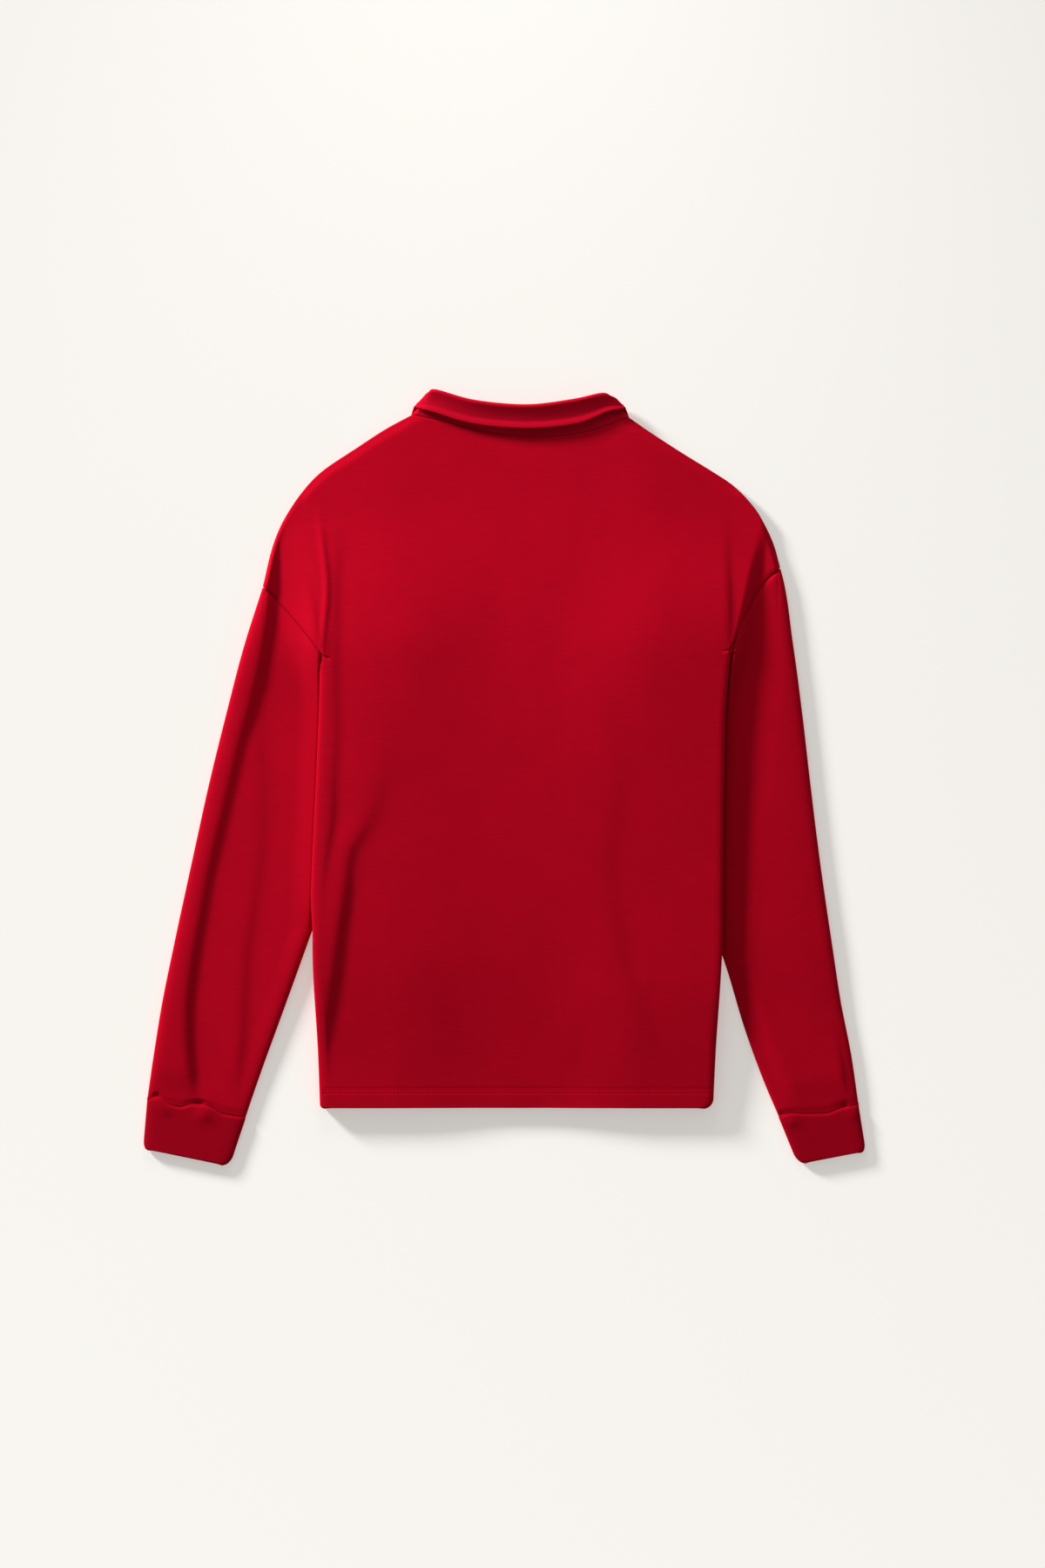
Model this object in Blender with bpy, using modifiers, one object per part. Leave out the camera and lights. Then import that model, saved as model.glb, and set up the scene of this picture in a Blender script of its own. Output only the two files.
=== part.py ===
"""Polo sweatshirt lying flat on its front, seen from its back.

Every piece of cloth is an open grid, shaped by a function of its two grid
parameters, and given its thickness by Solidify. Lengths below are in
millimetres, x to the wearer's right, y from the hem up to the collar, z up
from the floor. The finished meshes are in metres.
"""

import math

import bmesh
import bpy
import numpy as np

MM = 0.001

# Cloth
CLOTH = 1.6                # thickness of the brushed jersey
RIB = 2.2                  # thickness of a cuff's double wall
LAYER = 2.5                # from one layer's middle to the next
SEAM_GAP = 0.4             # between two pieces at a seam
HALF_GAP = SEAM_GAP / 2
ARMHOLE_GAP = 0.9          # at the armhole, where the two sides bend differently
FLOOR_LAYER = CLOTH / 2    # height of the middle of a layer on the floor

# Body
TURN_UNDER = 76.0          # width of the side that is folded under
EDGE_ROLL = 9.0            # width of the round edge of the body
FOLD_SQUARENESS = 0.4      # power of the cosine in a fold's section, 1 for an ellipse
SLEEVE_LIFT = 7.0          # how far the sleeve lifts the body's edge
SLEEVE_LIFT_ENDS = (126.0, 80.0)    # inward from the body's edge: where the lift starts, is full
UNDERARM = (447.0, 520.0)  # heights between which the lift of the sleeve ends
CROSSING_EASE = (75.0, 10.0)        # below the crossing: where the lift starts, is full
COLLAR_LIFT = 4.6          # how far the front leaf and buttons lift the front
COLLAR_LIFT_SIDES = (170.0, 113.0)  # distance from the centre: where it starts, is full
COLLAR_LIFT_HEIGHTS = (395.0, 450.0)
LOFT = 1.3                 # air between the front and the back
FOLD_OPENING = 3.4         # between the front's own two layers where it is folded under
STRIP_SLOPE = (28.0, 2.0)  # the front climbs the strip from this far inside its edge to this far
STRIP_TOP = (435.0, 540.0) # heights between which the strip's lift ends
SHOULDER_SPREAD = 16.0     # width over which the body passes into the dropped shoulder
SHOULDER_START = (430.0, 452.0)     # heights between which the dropped shoulder begins
SHOULDER_END = (575.0, 640.0)       # heights between which it ends
SHOULDER_INSIDE = 60.0     # the dropped shoulder's cloth lies no further inside the body
YOKE = (480.0, 560.0)      # heights between which the shoulder's outline turns round
OUTLINE_ROLL = (-1.0, 12.0)         # width of the round edge along the shoulder
SIDE_OF_NECK = 106.0
FRONT_FOLD_INSET = 0.5     # air between the front's fold and the back's fold round it

# Grid of both body panels
MAIN_COLUMNS = 24
FOLD_COLUMNS = 4
STRIP_COLUMNS = 3
ROWS = 24
UNDERARM_ROW = 17
NECK_COLUMN = 8            # column of the side of the neck

# Body edge: height, left x, right x (a fold up to the underarm, then a crease)
BODY_EDGE = [
    (0, -198.0, 190.5),
    (55, -200.0, 193.0),
    (155, -205.0, 199.0),
    (235, -203.0, 199.5),
    (320, -199.0, 200.5),
    (405, -195.5, 203.0),
    (445, -194.5, 207.0),
    (495, -191.5, 217.0),
    (545, -194.0, 228.0),
    (575, -198.0, 236.0),
]

# Armhole seam, from the shoulder point down and under the body: x, y
ARMHOLE = {
    "left": [(-254.5, 515.0), (-230.0, 490.0), (-213.0, 470.0), (-194.5, 447.0), (-150.0, 398.0)],
    "right": [(155.0, 402.0), (207.0, 455.0), (221.0, 484.0), (237.0, 512.0), (257.0, 534.0)],
}
SEAM_ENDS = {"left": (-185.5, -254.0), "right": (198.0, 256.5)}   # x where it starts and ends
CORNER_EASE = 1.2          # extra gap at the shoulder point, where three edges meet

# Shoulder outline, from shoulder point to side of the neck: share, x, y
SHOULDER_LEFT = [
    (0.00, -254.5, 515.0),
    (0.14, -245.5, 551.0),
    (0.28, -235.0, 578.0),
    (0.46, -214.6, 609.7),
    (0.62, -194.0, 630.4),
    (0.76, -163.0, 651.0),
    (0.89, -132.0, 671.0),
    (1.00, -106.6, 684.6),
]
SHOULDER_RIGHT = [
    (0.00, 257.0, 534.0),
    (0.10, 251.6, 553.8),
    (0.24, 241.2, 576.2),
    (0.38, 230.9, 593.4),
    (0.52, 210.3, 614.9),
    (0.64, 189.6, 628.7),
    (0.78, 158.7, 647.6),
    (0.90, 127.7, 667.6),
    (1.00, 107.0, 682.0),
]

# Necklines from side to side: share, x, y
NECK_BACK = [
    (0.00, -106.6, 684.6),
    (0.22, -57.0, 673.0),
    (0.42, -17.0, 664.8),
    (0.52, 6.0, 663.2),
    (0.62, 30.0, 662.6),
    (0.84, 77.0, 670.5),
    (1.00, 107.0, 682.0),
]
NECK_FRONT = [
    (0.00, -106.6, 684.6),
    (0.14, -99.0, 658.0),
    (0.30, -70.0, 626.0),
    (0.50, 0.0, 605.0),
    (0.70, 70.0, 625.0),
    (0.86, 99.0, 656.0),
    (1.00, 107.0, 682.0),
]

# Outer edge of a sleeve from its shoulder point down to the cuff's seam: height, x
SLEEVE_OUTER_LEFT = [
    (8, -369.2), (53, -362.5), (105, -354.0), (156, -343.6), (247, -324.0),
    (320, -308.0), (389, -291.0), (457, -273.0), (515, -254.5), (578, -235.0), (612, -212.0),
]
SLEEVE_OUTER_RIGHT = [
    (3, 334.6), (53, 327.2), (105, 317.0), (156, 309.2), (247, 296.0),
    (320, 287.0), (389, 279.0), (457, 270.0), (534, 257.0), (576, 241.2), (615, 210.0),
]

# Lines across a sleeve, armhole to cuff: share of the way, outer y, inner x, inner y
SLEEVE_LINES_LEFT = [
    (0.00, 515.0, -150.0, 398.0),
    (0.14, 457.0, -152.0, 348.0),
    (0.27, 389.0, -158.0, 306.0),
    (0.40, 320.0, -173.0, 265.0),
    (0.54, 247.0, -190.5, 218.0),
    (0.70, 156.5, -217.8, 143.0),
    (0.81, 105.0, -237.2, 90.0),
    (0.91, 53.3, -255.5, 40.0),
    (1.00, 8.0, -272.5, -8.8),
]
SLEEVE_LINES_RIGHT = [
    (0.00, 534.0, 155.0, 400.0),
    (0.14, 457.0, 155.0, 346.0),
    (0.27, 389.0, 157.0, 300.0),
    (0.40, 320.0, 165.0, 257.0),
    (0.54, 247.0, 183.0, 200.0),
    (0.70, 156.5, 206.8, 130.7),
    (0.81, 105.0, 222.3, 79.1),
    (0.91, 53.3, 240.0, 30.0),
    (1.00, 3.0, 256.0, -8.0),
]
CROSSING = {"left": 175.0, "right": 139.0}   # where the sleeve comes out from under the body

# Cuff corners: outer and inner ends of its seam, then of its open end
CUFF_CORNERS = {
    "left": [(-369.2, 8.0), (-272.5, -8.8), (-373.4, -41.5), (-288.0, -56.5)],
    "right": [(334.6, 3.0), (256.0, -8.0), (342.0, -44.0), (275.0, -54.5)],
}
CUFF_CORNER_RADIUS = 7.0
CUFF_HEIGHT = 5.0          # between the middles of the cuff's two walls
CUFF_DROP = 0.4            # how much flatter its open end is
CORNER_START = 0.8         # share of the cuff's depth where the round corner begins
CORNER_SHARE_OF_RADIUS = 0.5
CUFF_BLEND = 0.93          # share of the sleeve's length where it starts to take the cuff's height

# Grids of the tubes
TUBE_COLUMNS = 24
SLEEVE_ROWS = 18
CUFF_ROWS = 6
TUBE_SQUARENESS = 12       # power of the flattened section, 2 for an ellipse
UNDER_EDGE = (-9.0, -2.0)  # inward from the body's edge, where the sleeve dives under it
UNDER_START = 30.0         # how far below the crossing it starts to dive
UNDER_AIR = 1.0            # air between the dived sleeve and the body's edge

# Folds in the back: name, depth (a valley is below zero), half width, ends, path of x over y
BACK_FOLDS = [
    ("left valley", -2.0, 13.0, (20, 400), [(20, -195), (61, -189), (152, -178), (286, -152), (400, -134)]),
    ("left ridge", 1.6, 12.0, (40, 380), [(20, -205), (61, -200), (152, -196), (286, -172), (400, -156)]),
    ("right valley", -1.2, 16.0, (40, 430), [(40, 160), (71, 144), (131, 111), (195, 93), (430, 88)]),
    ("low valley", -0.9, 22.0, (-20, 110), [(-20, 46), (45, 48), (110, 60)]),
]

# Extra height of the back along the crease at the shoulder: height up the body, extra
SHOULDER_CREASE = [(400, 0.0), (447, 1.5), (480, 4.0), (545, 4.0), (575, 2.5), (605, 1.0), (640, 0.0)]
CREASE_WIDTH = (62.0, 6.0) # inward from the body's edge: where the crease starts, is full
FOLD_ENDS = (50.0, 70.0)   # over which a fold comes in at its lower end, goes out at its upper

# Height of a sleeve's upper cloth: least height, and where it rises from the cuff
SLEEVE_FLAT = 1.0
SLEEVE_START = (8.0, 60.0)
# Long ridges of the sleeves: height, distance from the outer edge, half width
OUTER_RIDGE = {"left": (4.6, 8.0, 8.0), "right": (1.5, 8.0, 9.0)}
MIDDLE_RIDGE = (6.2, 30.0, 22.0)    # on the right sleeve
# On the left sleeve the cloth climbs towards the body: height, from the outer edge, from the body
CLIMB = (5.2, (24.0, 70.0), (2.0, 18.0))
# Puffs below the crossing: height, distance from the inner edge, half width, upper and lower end
LOW_PUFF = {"left": (1.5, 28.0, 30.0, 170.0, 120.0), "right": (2.0, 20.0, 26.0, 139.0, 90.0)}
OUTER_ROLL = 10.0          # width of the dropped shoulder's round outer edge

# Collar, from one front end to the other by way of the back. Rows are stations: place on the
# neck seam (below 0 or above 1 on the front's neckline, else on the back's), x and y of the
# roll and of the leaf's edge, heights of roll and edge, way the leaf faces (90 is up),
# space between stand and leaf at the roll
COLLAR_STATIONS = [
    ("front end", -0.46, -9, 636, -47, 584, 3.7, 0.8, -90, 3.0),
    ("front", -0.30, -50, 659, -82, 616, 3.7, 0.8, -90, 3.0),
    ("front side", -0.14, -78, 684, -109, 652, 3.9, 0.9, -90, 3.0),
    ("turn", -0.05, -90, 697, -109, 677, 4.6, 1.8, -70, 3.2),
    ("side", 0.00, -95, 701.5, -105, 691.5, 8.4, 7.4, 0, 4.4),
    ("shoulder", 0.05, -91, 703.5, -101, 690.5, 12.6, 11.8, 55, 4.4),
    ("back side", 0.12, -83, 705.4, -86, 686.5, 16.2, 14.2, 85, 4.4),
    ("back quarter", 0.28, -45, 695.5, -47, 675.0, 18.5, 15.0, 90, 4.4),
    ("back", 0.52, 6, 691.0, 6, 670.2, 19.0, 15.6, 90, 4.4),
    ("back quarter", 0.74, 52, 696.4, 55, 674.8, 18.5, 15.2, 90, 4.4),
    ("back side", 0.88, 80, 702.6, 86, 686.8, 16.2, 14.4, 85, 4.4),
    ("shoulder", 0.95, 89, 700.5, 101, 690.0, 12.6, 11.8, 55, 4.4),
    ("side", 1.00, 94, 698.0, 104, 690.0, 8.4, 7.4, 0, 4.4),
    ("turn", 1.05, 90, 693.5, 109, 674.5, 4.6, 1.8, -70, 3.2),
    ("front side", 1.14, 78, 682, 109, 650, 3.9, 0.9, -90, 3.0),
    ("front", 1.30, 50, 658, 82, 615, 3.7, 0.8, -90, 3.0),
    ("front end", 1.46, 9, 636, 47, 584, 3.7, 0.8, -90, 3.0),
]
NECK_GAP = 0.6             # between the panels and the collar
CORNER_SPREAD = 2.4        # times the gap, at the side of the neck
COLLAR_COLUMNS = 48
COLLAR_ROWS = 10
STAND_SHARE = 0.4          # of the collar's depth, from the seam up to the roll
ROLL_SHARE = 0.2           # of the collar's depth, round the roll
CORNER_SHARE = 0.06        # of the neckline, beside the side of the neck
LIP_RISE = 1.0             # the leaf's edge turns up by this much
LEAF_SAG = 1.6             # the middle of the leaf dips by this much

# Placket and buttons
PLACKET_WIDTH = 30.0
PLACKET_TOP = 603.0
PLACKET_LENGTH = 140.0
PLACKET_HEIGHT = 3.3
PLACKET_COLUMNS, PLACKET_ROWS = 2, 6
BUTTON_DIAMETER = 11.5
BUTTON_THICKNESS = 2.1
BUTTON_HEIGHTS = (588.0, 538.0, 488.0)
BUTTON_SIDES = 20
BUTTON_BACK = 0.86         # radius of the button's back, as a share of its face
BUTTON_RIM = 0.2           # width of the rim, as a share of the radius
BUTTON_SLOPE = 0.12        # width of the slope inside the rim
BUTTON_DISH = 0.5          # depth of the dished middle
BUTTON_CLEARANCE = 0.05    # between the button's face and the floor
SHARP_ANGLE = 35.0         # degrees

RED = (0.376, 0.0018, 0.0130, 1.0)
RED_RIB = (0.340, 0.0016, 0.0120, 1.0)
RED_BUTTON = (0.250, 0.0020, 0.0100, 1.0)


def through(at, stations, values):
    """Smooth curve through a table: cubic pieces with the table's own mean slopes."""
    at = np.asarray(at, dtype=float)
    stations = np.asarray(stations, dtype=float)
    values = np.asarray(values, dtype=float)
    slopes = np.gradient(values, stations)
    piece = np.clip(np.searchsorted(stations, at, side="right") - 1, 0, len(stations) - 2)
    span = stations[piece + 1] - stations[piece]
    f = np.clip((at - stations[piece]) / span, 0.0, 1.0)
    return (
        (1 + 2 * f) * (1 - f) ** 2 * values[piece]
        + f * (1 - f) ** 2 * span * slopes[piece]
        + f * f * (3 - 2 * f) * values[piece + 1]
        + f * f * (f - 1) * span * slopes[piece + 1]
    )


def column(table, index):
    """One named column of a table."""
    return [row[index] for row in table]


def step(low, high, x):
    """Smooth step from 0 at low to 1 at high; low may be the larger of the two."""
    f = np.clip((np.asarray(x, dtype=float) - low) / (high - low), 0.0, 1.0)
    return f * f * (3 - 2 * f)


def bump(x, centre, half_width):
    """Bell of height 1."""
    return np.exp(-(((x - centre) / half_width) ** 2))


def edge_x(y, side):
    """x of the body's folded edge, or of the crease above the underarm."""
    return through(y, column(BODY_EDGE, 0), column(BODY_EDGE, 1 if side == "left" else 2))


def inward(x, y, side):
    """Distance from the body's edge towards the middle, below zero outside it."""
    if side == "left":
        return x - edge_x(y, side)
    return edge_x(y, side) - x


def armhole_seam(x, side):
    """Height of the armhole's seam at x, and half of the seam's gap measured along y."""
    table = ARMHOLE[side]
    y = through(x, column(table, 0), column(table, 1))
    ahead = through(x + 1.0, column(table, 0), column(table, 1))
    return y, ARMHOLE_GAP / 2 * np.hypot(1.0, ahead - y)


def outline_distance(x, y, side):
    """Distance inside the garment's outer edge at the shoulder and the sleeve."""
    table = SLEEVE_OUTER_LEFT if side == "left" else SLEEVE_OUTER_RIGHT
    outer = through(y, column(table, 0), column(table, 1))
    return x - outer if side == "left" else outer - x


def sleeve_lift(x, y, side):
    """Height of the space under the body's edge that the sleeve fills."""
    low = CROSSING[side]
    start, full = CROSSING_EASE
    along = step(low - start, low - full, y) * (1 - step(*UNDERARM, y))
    return SLEEVE_LIFT * along * step(*SLEEVE_LIFT_ENDS, inward(x, y, side))


def base_height(x, y):
    """Height that the sleeves and the front leaf of the collar give to the body."""
    collar = COLLAR_LIFT * step(*COLLAR_LIFT_SIDES, abs(x)) * step(*COLLAR_LIFT_HEIGHTS, y)
    return sleeve_lift(x, y, "left") + sleeve_lift(x, y, "right") + collar


def outside(x, y):
    """1 out on the dropped shoulder, 0 inside the body's crease."""
    left = step(0, SHOULDER_SPREAD, -inward(x, y, "left"))
    right = step(0, SHOULDER_SPREAD, -inward(x, y, "right"))
    above = step(*SHOULDER_START, y) * (1 - step(*SHOULDER_END, y))
    return np.maximum(left, right) * above


def front_height(x, y):
    """Middle of the front panel: on the floor, and over the turned-under sides."""
    outer, inner = TURN_UNDER + STRIP_SLOPE[0], TURN_UNDER - STRIP_SLOPE[1]
    near = step(outer, inner, inward(x, y, "left")) + step(outer, inner, inward(x, y, "right"))
    sides = (LAYER + FOLD_OPENING) * near * (1 - step(*STRIP_TOP, y))
    return FLOOR_LAYER + (sides + base_height(x, y)) * (1 - outside(x, y))


def sleeve_puff(x, y, side):
    """Height of the upper cloth of sleeve and dropped shoulder over two flat layers."""
    out = outline_distance(x, y, side)
    gap = -inward(x, y, side)
    ridge_height, ridge_out, ridge_width = OUTER_RIDGE[side]
    high = ridge_height * bump(out, ridge_out, ridge_width)
    if side == "left":
        climb, from_outline, from_body = CLIMB
        high = high + climb * step(*from_outline, out) * step(*from_body, gap)
    else:
        ridge_height, ridge_out, ridge_width = MIDDLE_RIDGE
        high = high + ridge_height * bump(out, ridge_out, ridge_width)
    puff, puff_gap, puff_width, upper_end, lower_end = LOW_PUFF[side]
    high = high + step(upper_end, lower_end, y) * puff * bump(gap, puff_gap, puff_width)
    return SLEEVE_FLAT + step(*SLEEVE_START, y) * high


def back_puff(x, y):
    """Air under the back, its folds, the crease at the shoulder and the outer ridge."""
    height = LOFT + 0.0 * x
    for _, depth, half_width, ends, path in BACK_FOLDS:
        middle = through(y, column(path, 0), column(path, 1))
        low, high = ends
        share = step(low, low + FOLD_ENDS[0], y) * step(high, high - FOLD_ENDS[1], y)
        height = height + depth * bump(x, middle, half_width) * share
    for side in ("left", "right"):
        extra = through(y, column(SHOULDER_CREASE, 0), column(SHOULDER_CREASE, 1))
        height = height + extra * step(*CREASE_WIDTH, inward(x, y, side))
        roll = step(0, OUTER_ROLL, outline_distance(x, y, side))
        share = outside(x, y) * (inward(x, y, side) < SHOULDER_INSIDE)
        puff = np.maximum(sleeve_puff(x, y, side) * roll, 0.0)
        height = height * (1 - share) + puff * share
    return np.maximum(height, 0.0)


def shoulder_roll(x, y):
    """0 at the shoulder's outline, 1 from the roll's width inside it."""
    left = y - through(x, column(SHOULDER_LEFT[3:], 1), column(SHOULDER_LEFT[3:], 2))
    right = y - through(x, column(SHOULDER_RIGHT[:3:-1], 1), column(SHOULDER_RIGHT[:3:-1], 2))
    far = OUTLINE_ROLL[1]
    below_left = np.where(x < -SIDE_OF_NECK, -left, far)
    below_right = np.where(x > SIDE_OF_NECK, -right, far)
    return step(*OUTLINE_ROLL, np.minimum(below_left, below_right))


def back_height(x, y):
    """Middle of the back panel, always a layer or more above the front."""
    top = step(*YOKE, y)
    roll = 1 - top * (1 - shoulder_roll(x, y))
    return front_height(x, y) + LAYER + back_puff(x, y) * roll


def neck_edge(table, share, axis):
    """A panel's neck edge: straight from one of its grid columns to the next."""
    shares = np.linspace(0, 1, MAIN_COLUMNS - 2 * NECK_COLUMN + 1)
    return np.interp(share, shares, through(shares, column(table, 0), column(table, axis)))


def shoulder_values(side, axis):
    """One column of a shoulder's table, which starts where the armhole's seam ends."""
    table = SHOULDER_LEFT if side == "left" else SHOULDER_RIGHT
    values = column(table, axis)
    values[0] = float(panel_side(np.ones(1), side)[axis - 1][0])
    return values


def neck_or_shoulder(u, neck):
    """Top edge of a body panel: shoulder, neckline, shoulder; u runs from 0 to 1."""
    side = NECK_COLUMN / MAIN_COLUMNS
    left = np.clip(u / side, 0, 1)
    right = np.clip((1 - u) / side, 0, 1)
    middle = np.clip((u - side) / (1 - 2 * side), 0, 1)
    point = []
    for axis in (1, 2):
        a = through(left, column(SHOULDER_LEFT, 0), shoulder_values("left", axis))
        b = neck_edge(neck, middle, axis)
        c = through(right, column(SHOULDER_RIGHT, 0), shoulder_values("right", axis))
        point.append(np.where(u <= side, a, np.where(u >= 1 - side, c, b)))
    return point


def panel_side(v, side):
    """Side edge of a body panel: the folded edge, then the armhole's seam."""
    share = UNDERARM_ROW / ROWS
    sign = 1 if side == "left" else -1
    near_end, far_end = SEAM_ENDS[side]
    underarm, first_gap = armhole_seam(near_end, side)
    y = (underarm + first_gap) * np.clip(v / share, 0, 1)
    up = np.clip((v - share) / (1 - share), 0, 1)
    seam_x = near_end + (far_end - near_end) * up
    seam_y, gap_y = armhole_seam(seam_x, side)
    seam_y = seam_y + gap_y + CORNER_EASE * up**6
    fold_x = edge_x(y, side) + sign * EDGE_ROLL
    on_seam = v > share
    return np.where(on_seam, seam_x, fold_x), np.where(on_seam, seam_y, y)


def panel_plan(u, v, neck):
    """Place of a panel's point on the floor, blended from its four edges."""
    left, right = panel_side(v, "left"), panel_side(v, "right")
    top = neck_or_shoulder(u, neck)
    spread = u - 0.08 * np.sin(2 * math.pi * u)
    foot = panel_side(np.zeros(1), "left"), panel_side(np.zeros(1), "right")
    head = panel_side(np.ones(1), "left"), panel_side(np.ones(1), "right")
    place = []
    for axis in (0, 1):
        hem = foot[0][axis] * (1 - spread) + foot[1][axis] * spread
        straight_left = foot[0][axis] * (1 - v) + head[0][axis] * v
        straight_right = foot[1][axis] * (1 - v) + head[1][axis] * v
        point = (1 - v) * hem + v * top[axis]
        point = point + (1 - u) ** 2 * (left[axis] - straight_left)
        point = point + u**2 * (right[axis] - straight_right)
        place.append(point)
    return place


def body_panel(column_at, row_at, neck, is_front):
    """A panel's points: its main part, the round folds beside it, the strips turned under."""
    side_columns = FOLD_COLUMNS + STRIP_COLUMNS
    v = row_at / ROWS
    u = np.clip((column_at - side_columns) / MAIN_COLUMNS, 0, 1)
    x, y = panel_plan(u, v, neck)
    z = front_height(x, y) if is_front else back_height(x, y)
    beyond = np.maximum(side_columns - column_at, column_at - side_columns - MAIN_COLUMNS)
    for side, sign in (("left", 1), ("right", -1)):
        here = (beyond > 0) & ((column_at < side_columns) == (side == "left"))
        angle = math.pi * np.clip(beyond / FOLD_COLUMNS, 0, 1)
        strip = np.clip((beyond - FOLD_COLUMNS) / STRIP_COLUMNS, 0, 1)
        lowest = FLOOR_LAYER + sleeve_lift(edge_x(y, side) + sign * EDGE_ROLL, y, side)
        lower = lowest + (LAYER if is_front else 0.0)
        width = EDGE_ROLL - FLOOR_LAYER - (LAYER + FRONT_FOLD_INSET if is_front else 0.0)
        reach = EDGE_ROLL - width * np.sin(angle) + (TURN_UNDER - EDGE_ROLL) * strip
        level = np.sign(np.cos(angle)) * np.abs(np.cos(angle)) ** FOLD_SQUARENESS
        fold_z = (z + lower) / 2 + (z - lower) / 2 * level
        fold_x = edge_x(y, side) + sign * reach
        strip_z = FLOOR_LAYER + sleeve_lift(fold_x, y, side) + (LAYER if is_front else 0.0)
        z = np.where(here, np.where(strip > 0, strip_z, fold_z), z)
        x = np.where(here, fold_x, x)
    return x, y, z


def panel_keeps(column_at, row_at):
    """The folds and the strips end at the underarm."""
    side_columns = FOLD_COLUMNS + STRIP_COLUMNS
    on_main = side_columns < column_at < side_columns + MAIN_COLUMNS
    return on_main or row_at < UNDERARM_ROW


def flattened(across):
    """Height of a flattened tube over its own width, 1 nearly all over, 0 at the edges."""
    return np.sqrt(np.clip(1 - np.abs(2 * across - 1) ** TUBE_SQUARENESS, 0, 1))


def tube_share(turn):
    """Way across a flattened tube and its side, from the turn round it (0 to 1)."""
    across = 0.5 - 0.5 * np.cos(2 * math.pi * turn)
    return across, np.where(turn <= 0.5, 1.0, -1.0)


def sleeve_points(turn, along, side):
    """A sleeve: lines from its outer to its inner edge, doubled into a flat tube."""
    lines = SLEEVE_LINES_LEFT if side == "left" else SLEEVE_LINES_RIGHT
    outer_table = SLEEVE_OUTER_LEFT if side == "left" else SLEEVE_OUTER_RIGHT
    share = column(lines, 0)
    outer_y = through(along, share, column(lines, 1))
    inner_x = through(along, share, column(lines, 2))
    inner_y = through(along, share, column(lines, 3))
    outer_x = through(outer_y, column(outer_table, 0), column(outer_table, 1))
    sign = 1 if side == "left" else -1
    outer_x = outer_x + sign * FLOOR_LAYER
    across, upper = tube_share(turn)
    x = outer_x + (inner_x - outer_x) * across
    y = outer_y + (inner_y - outer_y) * across
    seam_y, gap_y = armhole_seam(x, side)
    first_y = lines[0][1] + (lines[0][3] - lines[0][1]) * across
    y = y + (seam_y - first_y) * (1 - along) ** 4
    y = y - gap_y * (along < 0.5) + HALF_GAP * (along >= 0.5)
    free = FLOOR_LAYER + LAYER + sleeve_puff(x, y, side)
    under = step(*UNDER_EDGE, inward(x, y, side)) * (y > CROSSING[side] - UNDER_START)
    cap = SLEEVE_LIFT - FLOOR_LAYER - UNDER_AIR
    top = free + (np.minimum(free, cap) - free) * under
    band = FLOOR_LAYER + CUFF_HEIGHT
    top = top + (band - top) * step(CUFF_BLEND, 1.0, along)
    middle = (top + FLOOR_LAYER) / 2
    z = middle + upper * (top - FLOOR_LAYER) / 2 * flattened(across)
    return x, y, z


def cuff_points(turn, along, side):
    """A cuff: a flattened tube between its four corners, with round lower corners."""
    seam_outer, seam_inner, end_outer, end_inner = np.array(CUFF_CORNERS[side])
    across, upper = tube_share(turn)
    sign = 1 if side == "left" else -1
    outer = [seam_outer[k] * (1 - along) + end_outer[k] * along for k in (0, 1)]
    inner = [seam_inner[k] * (1 - along) + end_inner[k] * along for k in (0, 1)]
    left_over = np.clip(along - CORNER_START, 0, 1) / (1 - CORNER_START)
    corner = CUFF_CORNER_RADIUS * (1 - np.sqrt(np.clip(1 - left_over**2, 0, 1))) * CORNER_SHARE_OF_RADIUS
    outer[0] = outer[0] + sign * (RIB / 2 + corner)
    inner[0] = inner[0] - sign * corner
    x = outer[0] + (inner[0] - outer[0]) * across
    y = outer[1] + (inner[1] - outer[1]) * across - HALF_GAP * (1 - along)
    low = RIB / 2
    top = FLOOR_LAYER + CUFF_HEIGHT - CUFF_DROP * along
    z = (top + low) / 2 + upper * (top - low) / 2 * flattened(across)
    return x, y, z


def neck_seam(place):
    """Collar side of the neckline: the panels' neck edge, moved by the gap into the neck."""
    on_back = (place >= 0) & (place <= 1)
    share = np.where(place < 0, -place, np.where(on_back, place, 2 - place))
    point, ahead = [], []
    for axis in (1, 2):
        for shift, kept in ((0.0, point), (0.01, ahead)):
            back = neck_edge(NECK_BACK, share + shift, axis)
            kept.append(np.where(on_back, back, neck_edge(NECK_FRONT, share + shift, axis)))
    along_x, along_y = ahead[0] - point[0], ahead[1] - point[1]
    length = np.maximum(np.hypot(along_x, along_y), 1e-6)
    middle = step(0.0, CORNER_SHARE, share) * step(1.0, 1 - CORNER_SHARE, share)
    normal_x = -along_y / length * middle
    normal_y = along_x / length * middle + CORNER_SPREAD * (1 - middle)
    return point[0] + NECK_GAP * normal_x, point[1] + NECK_GAP * normal_y


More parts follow.
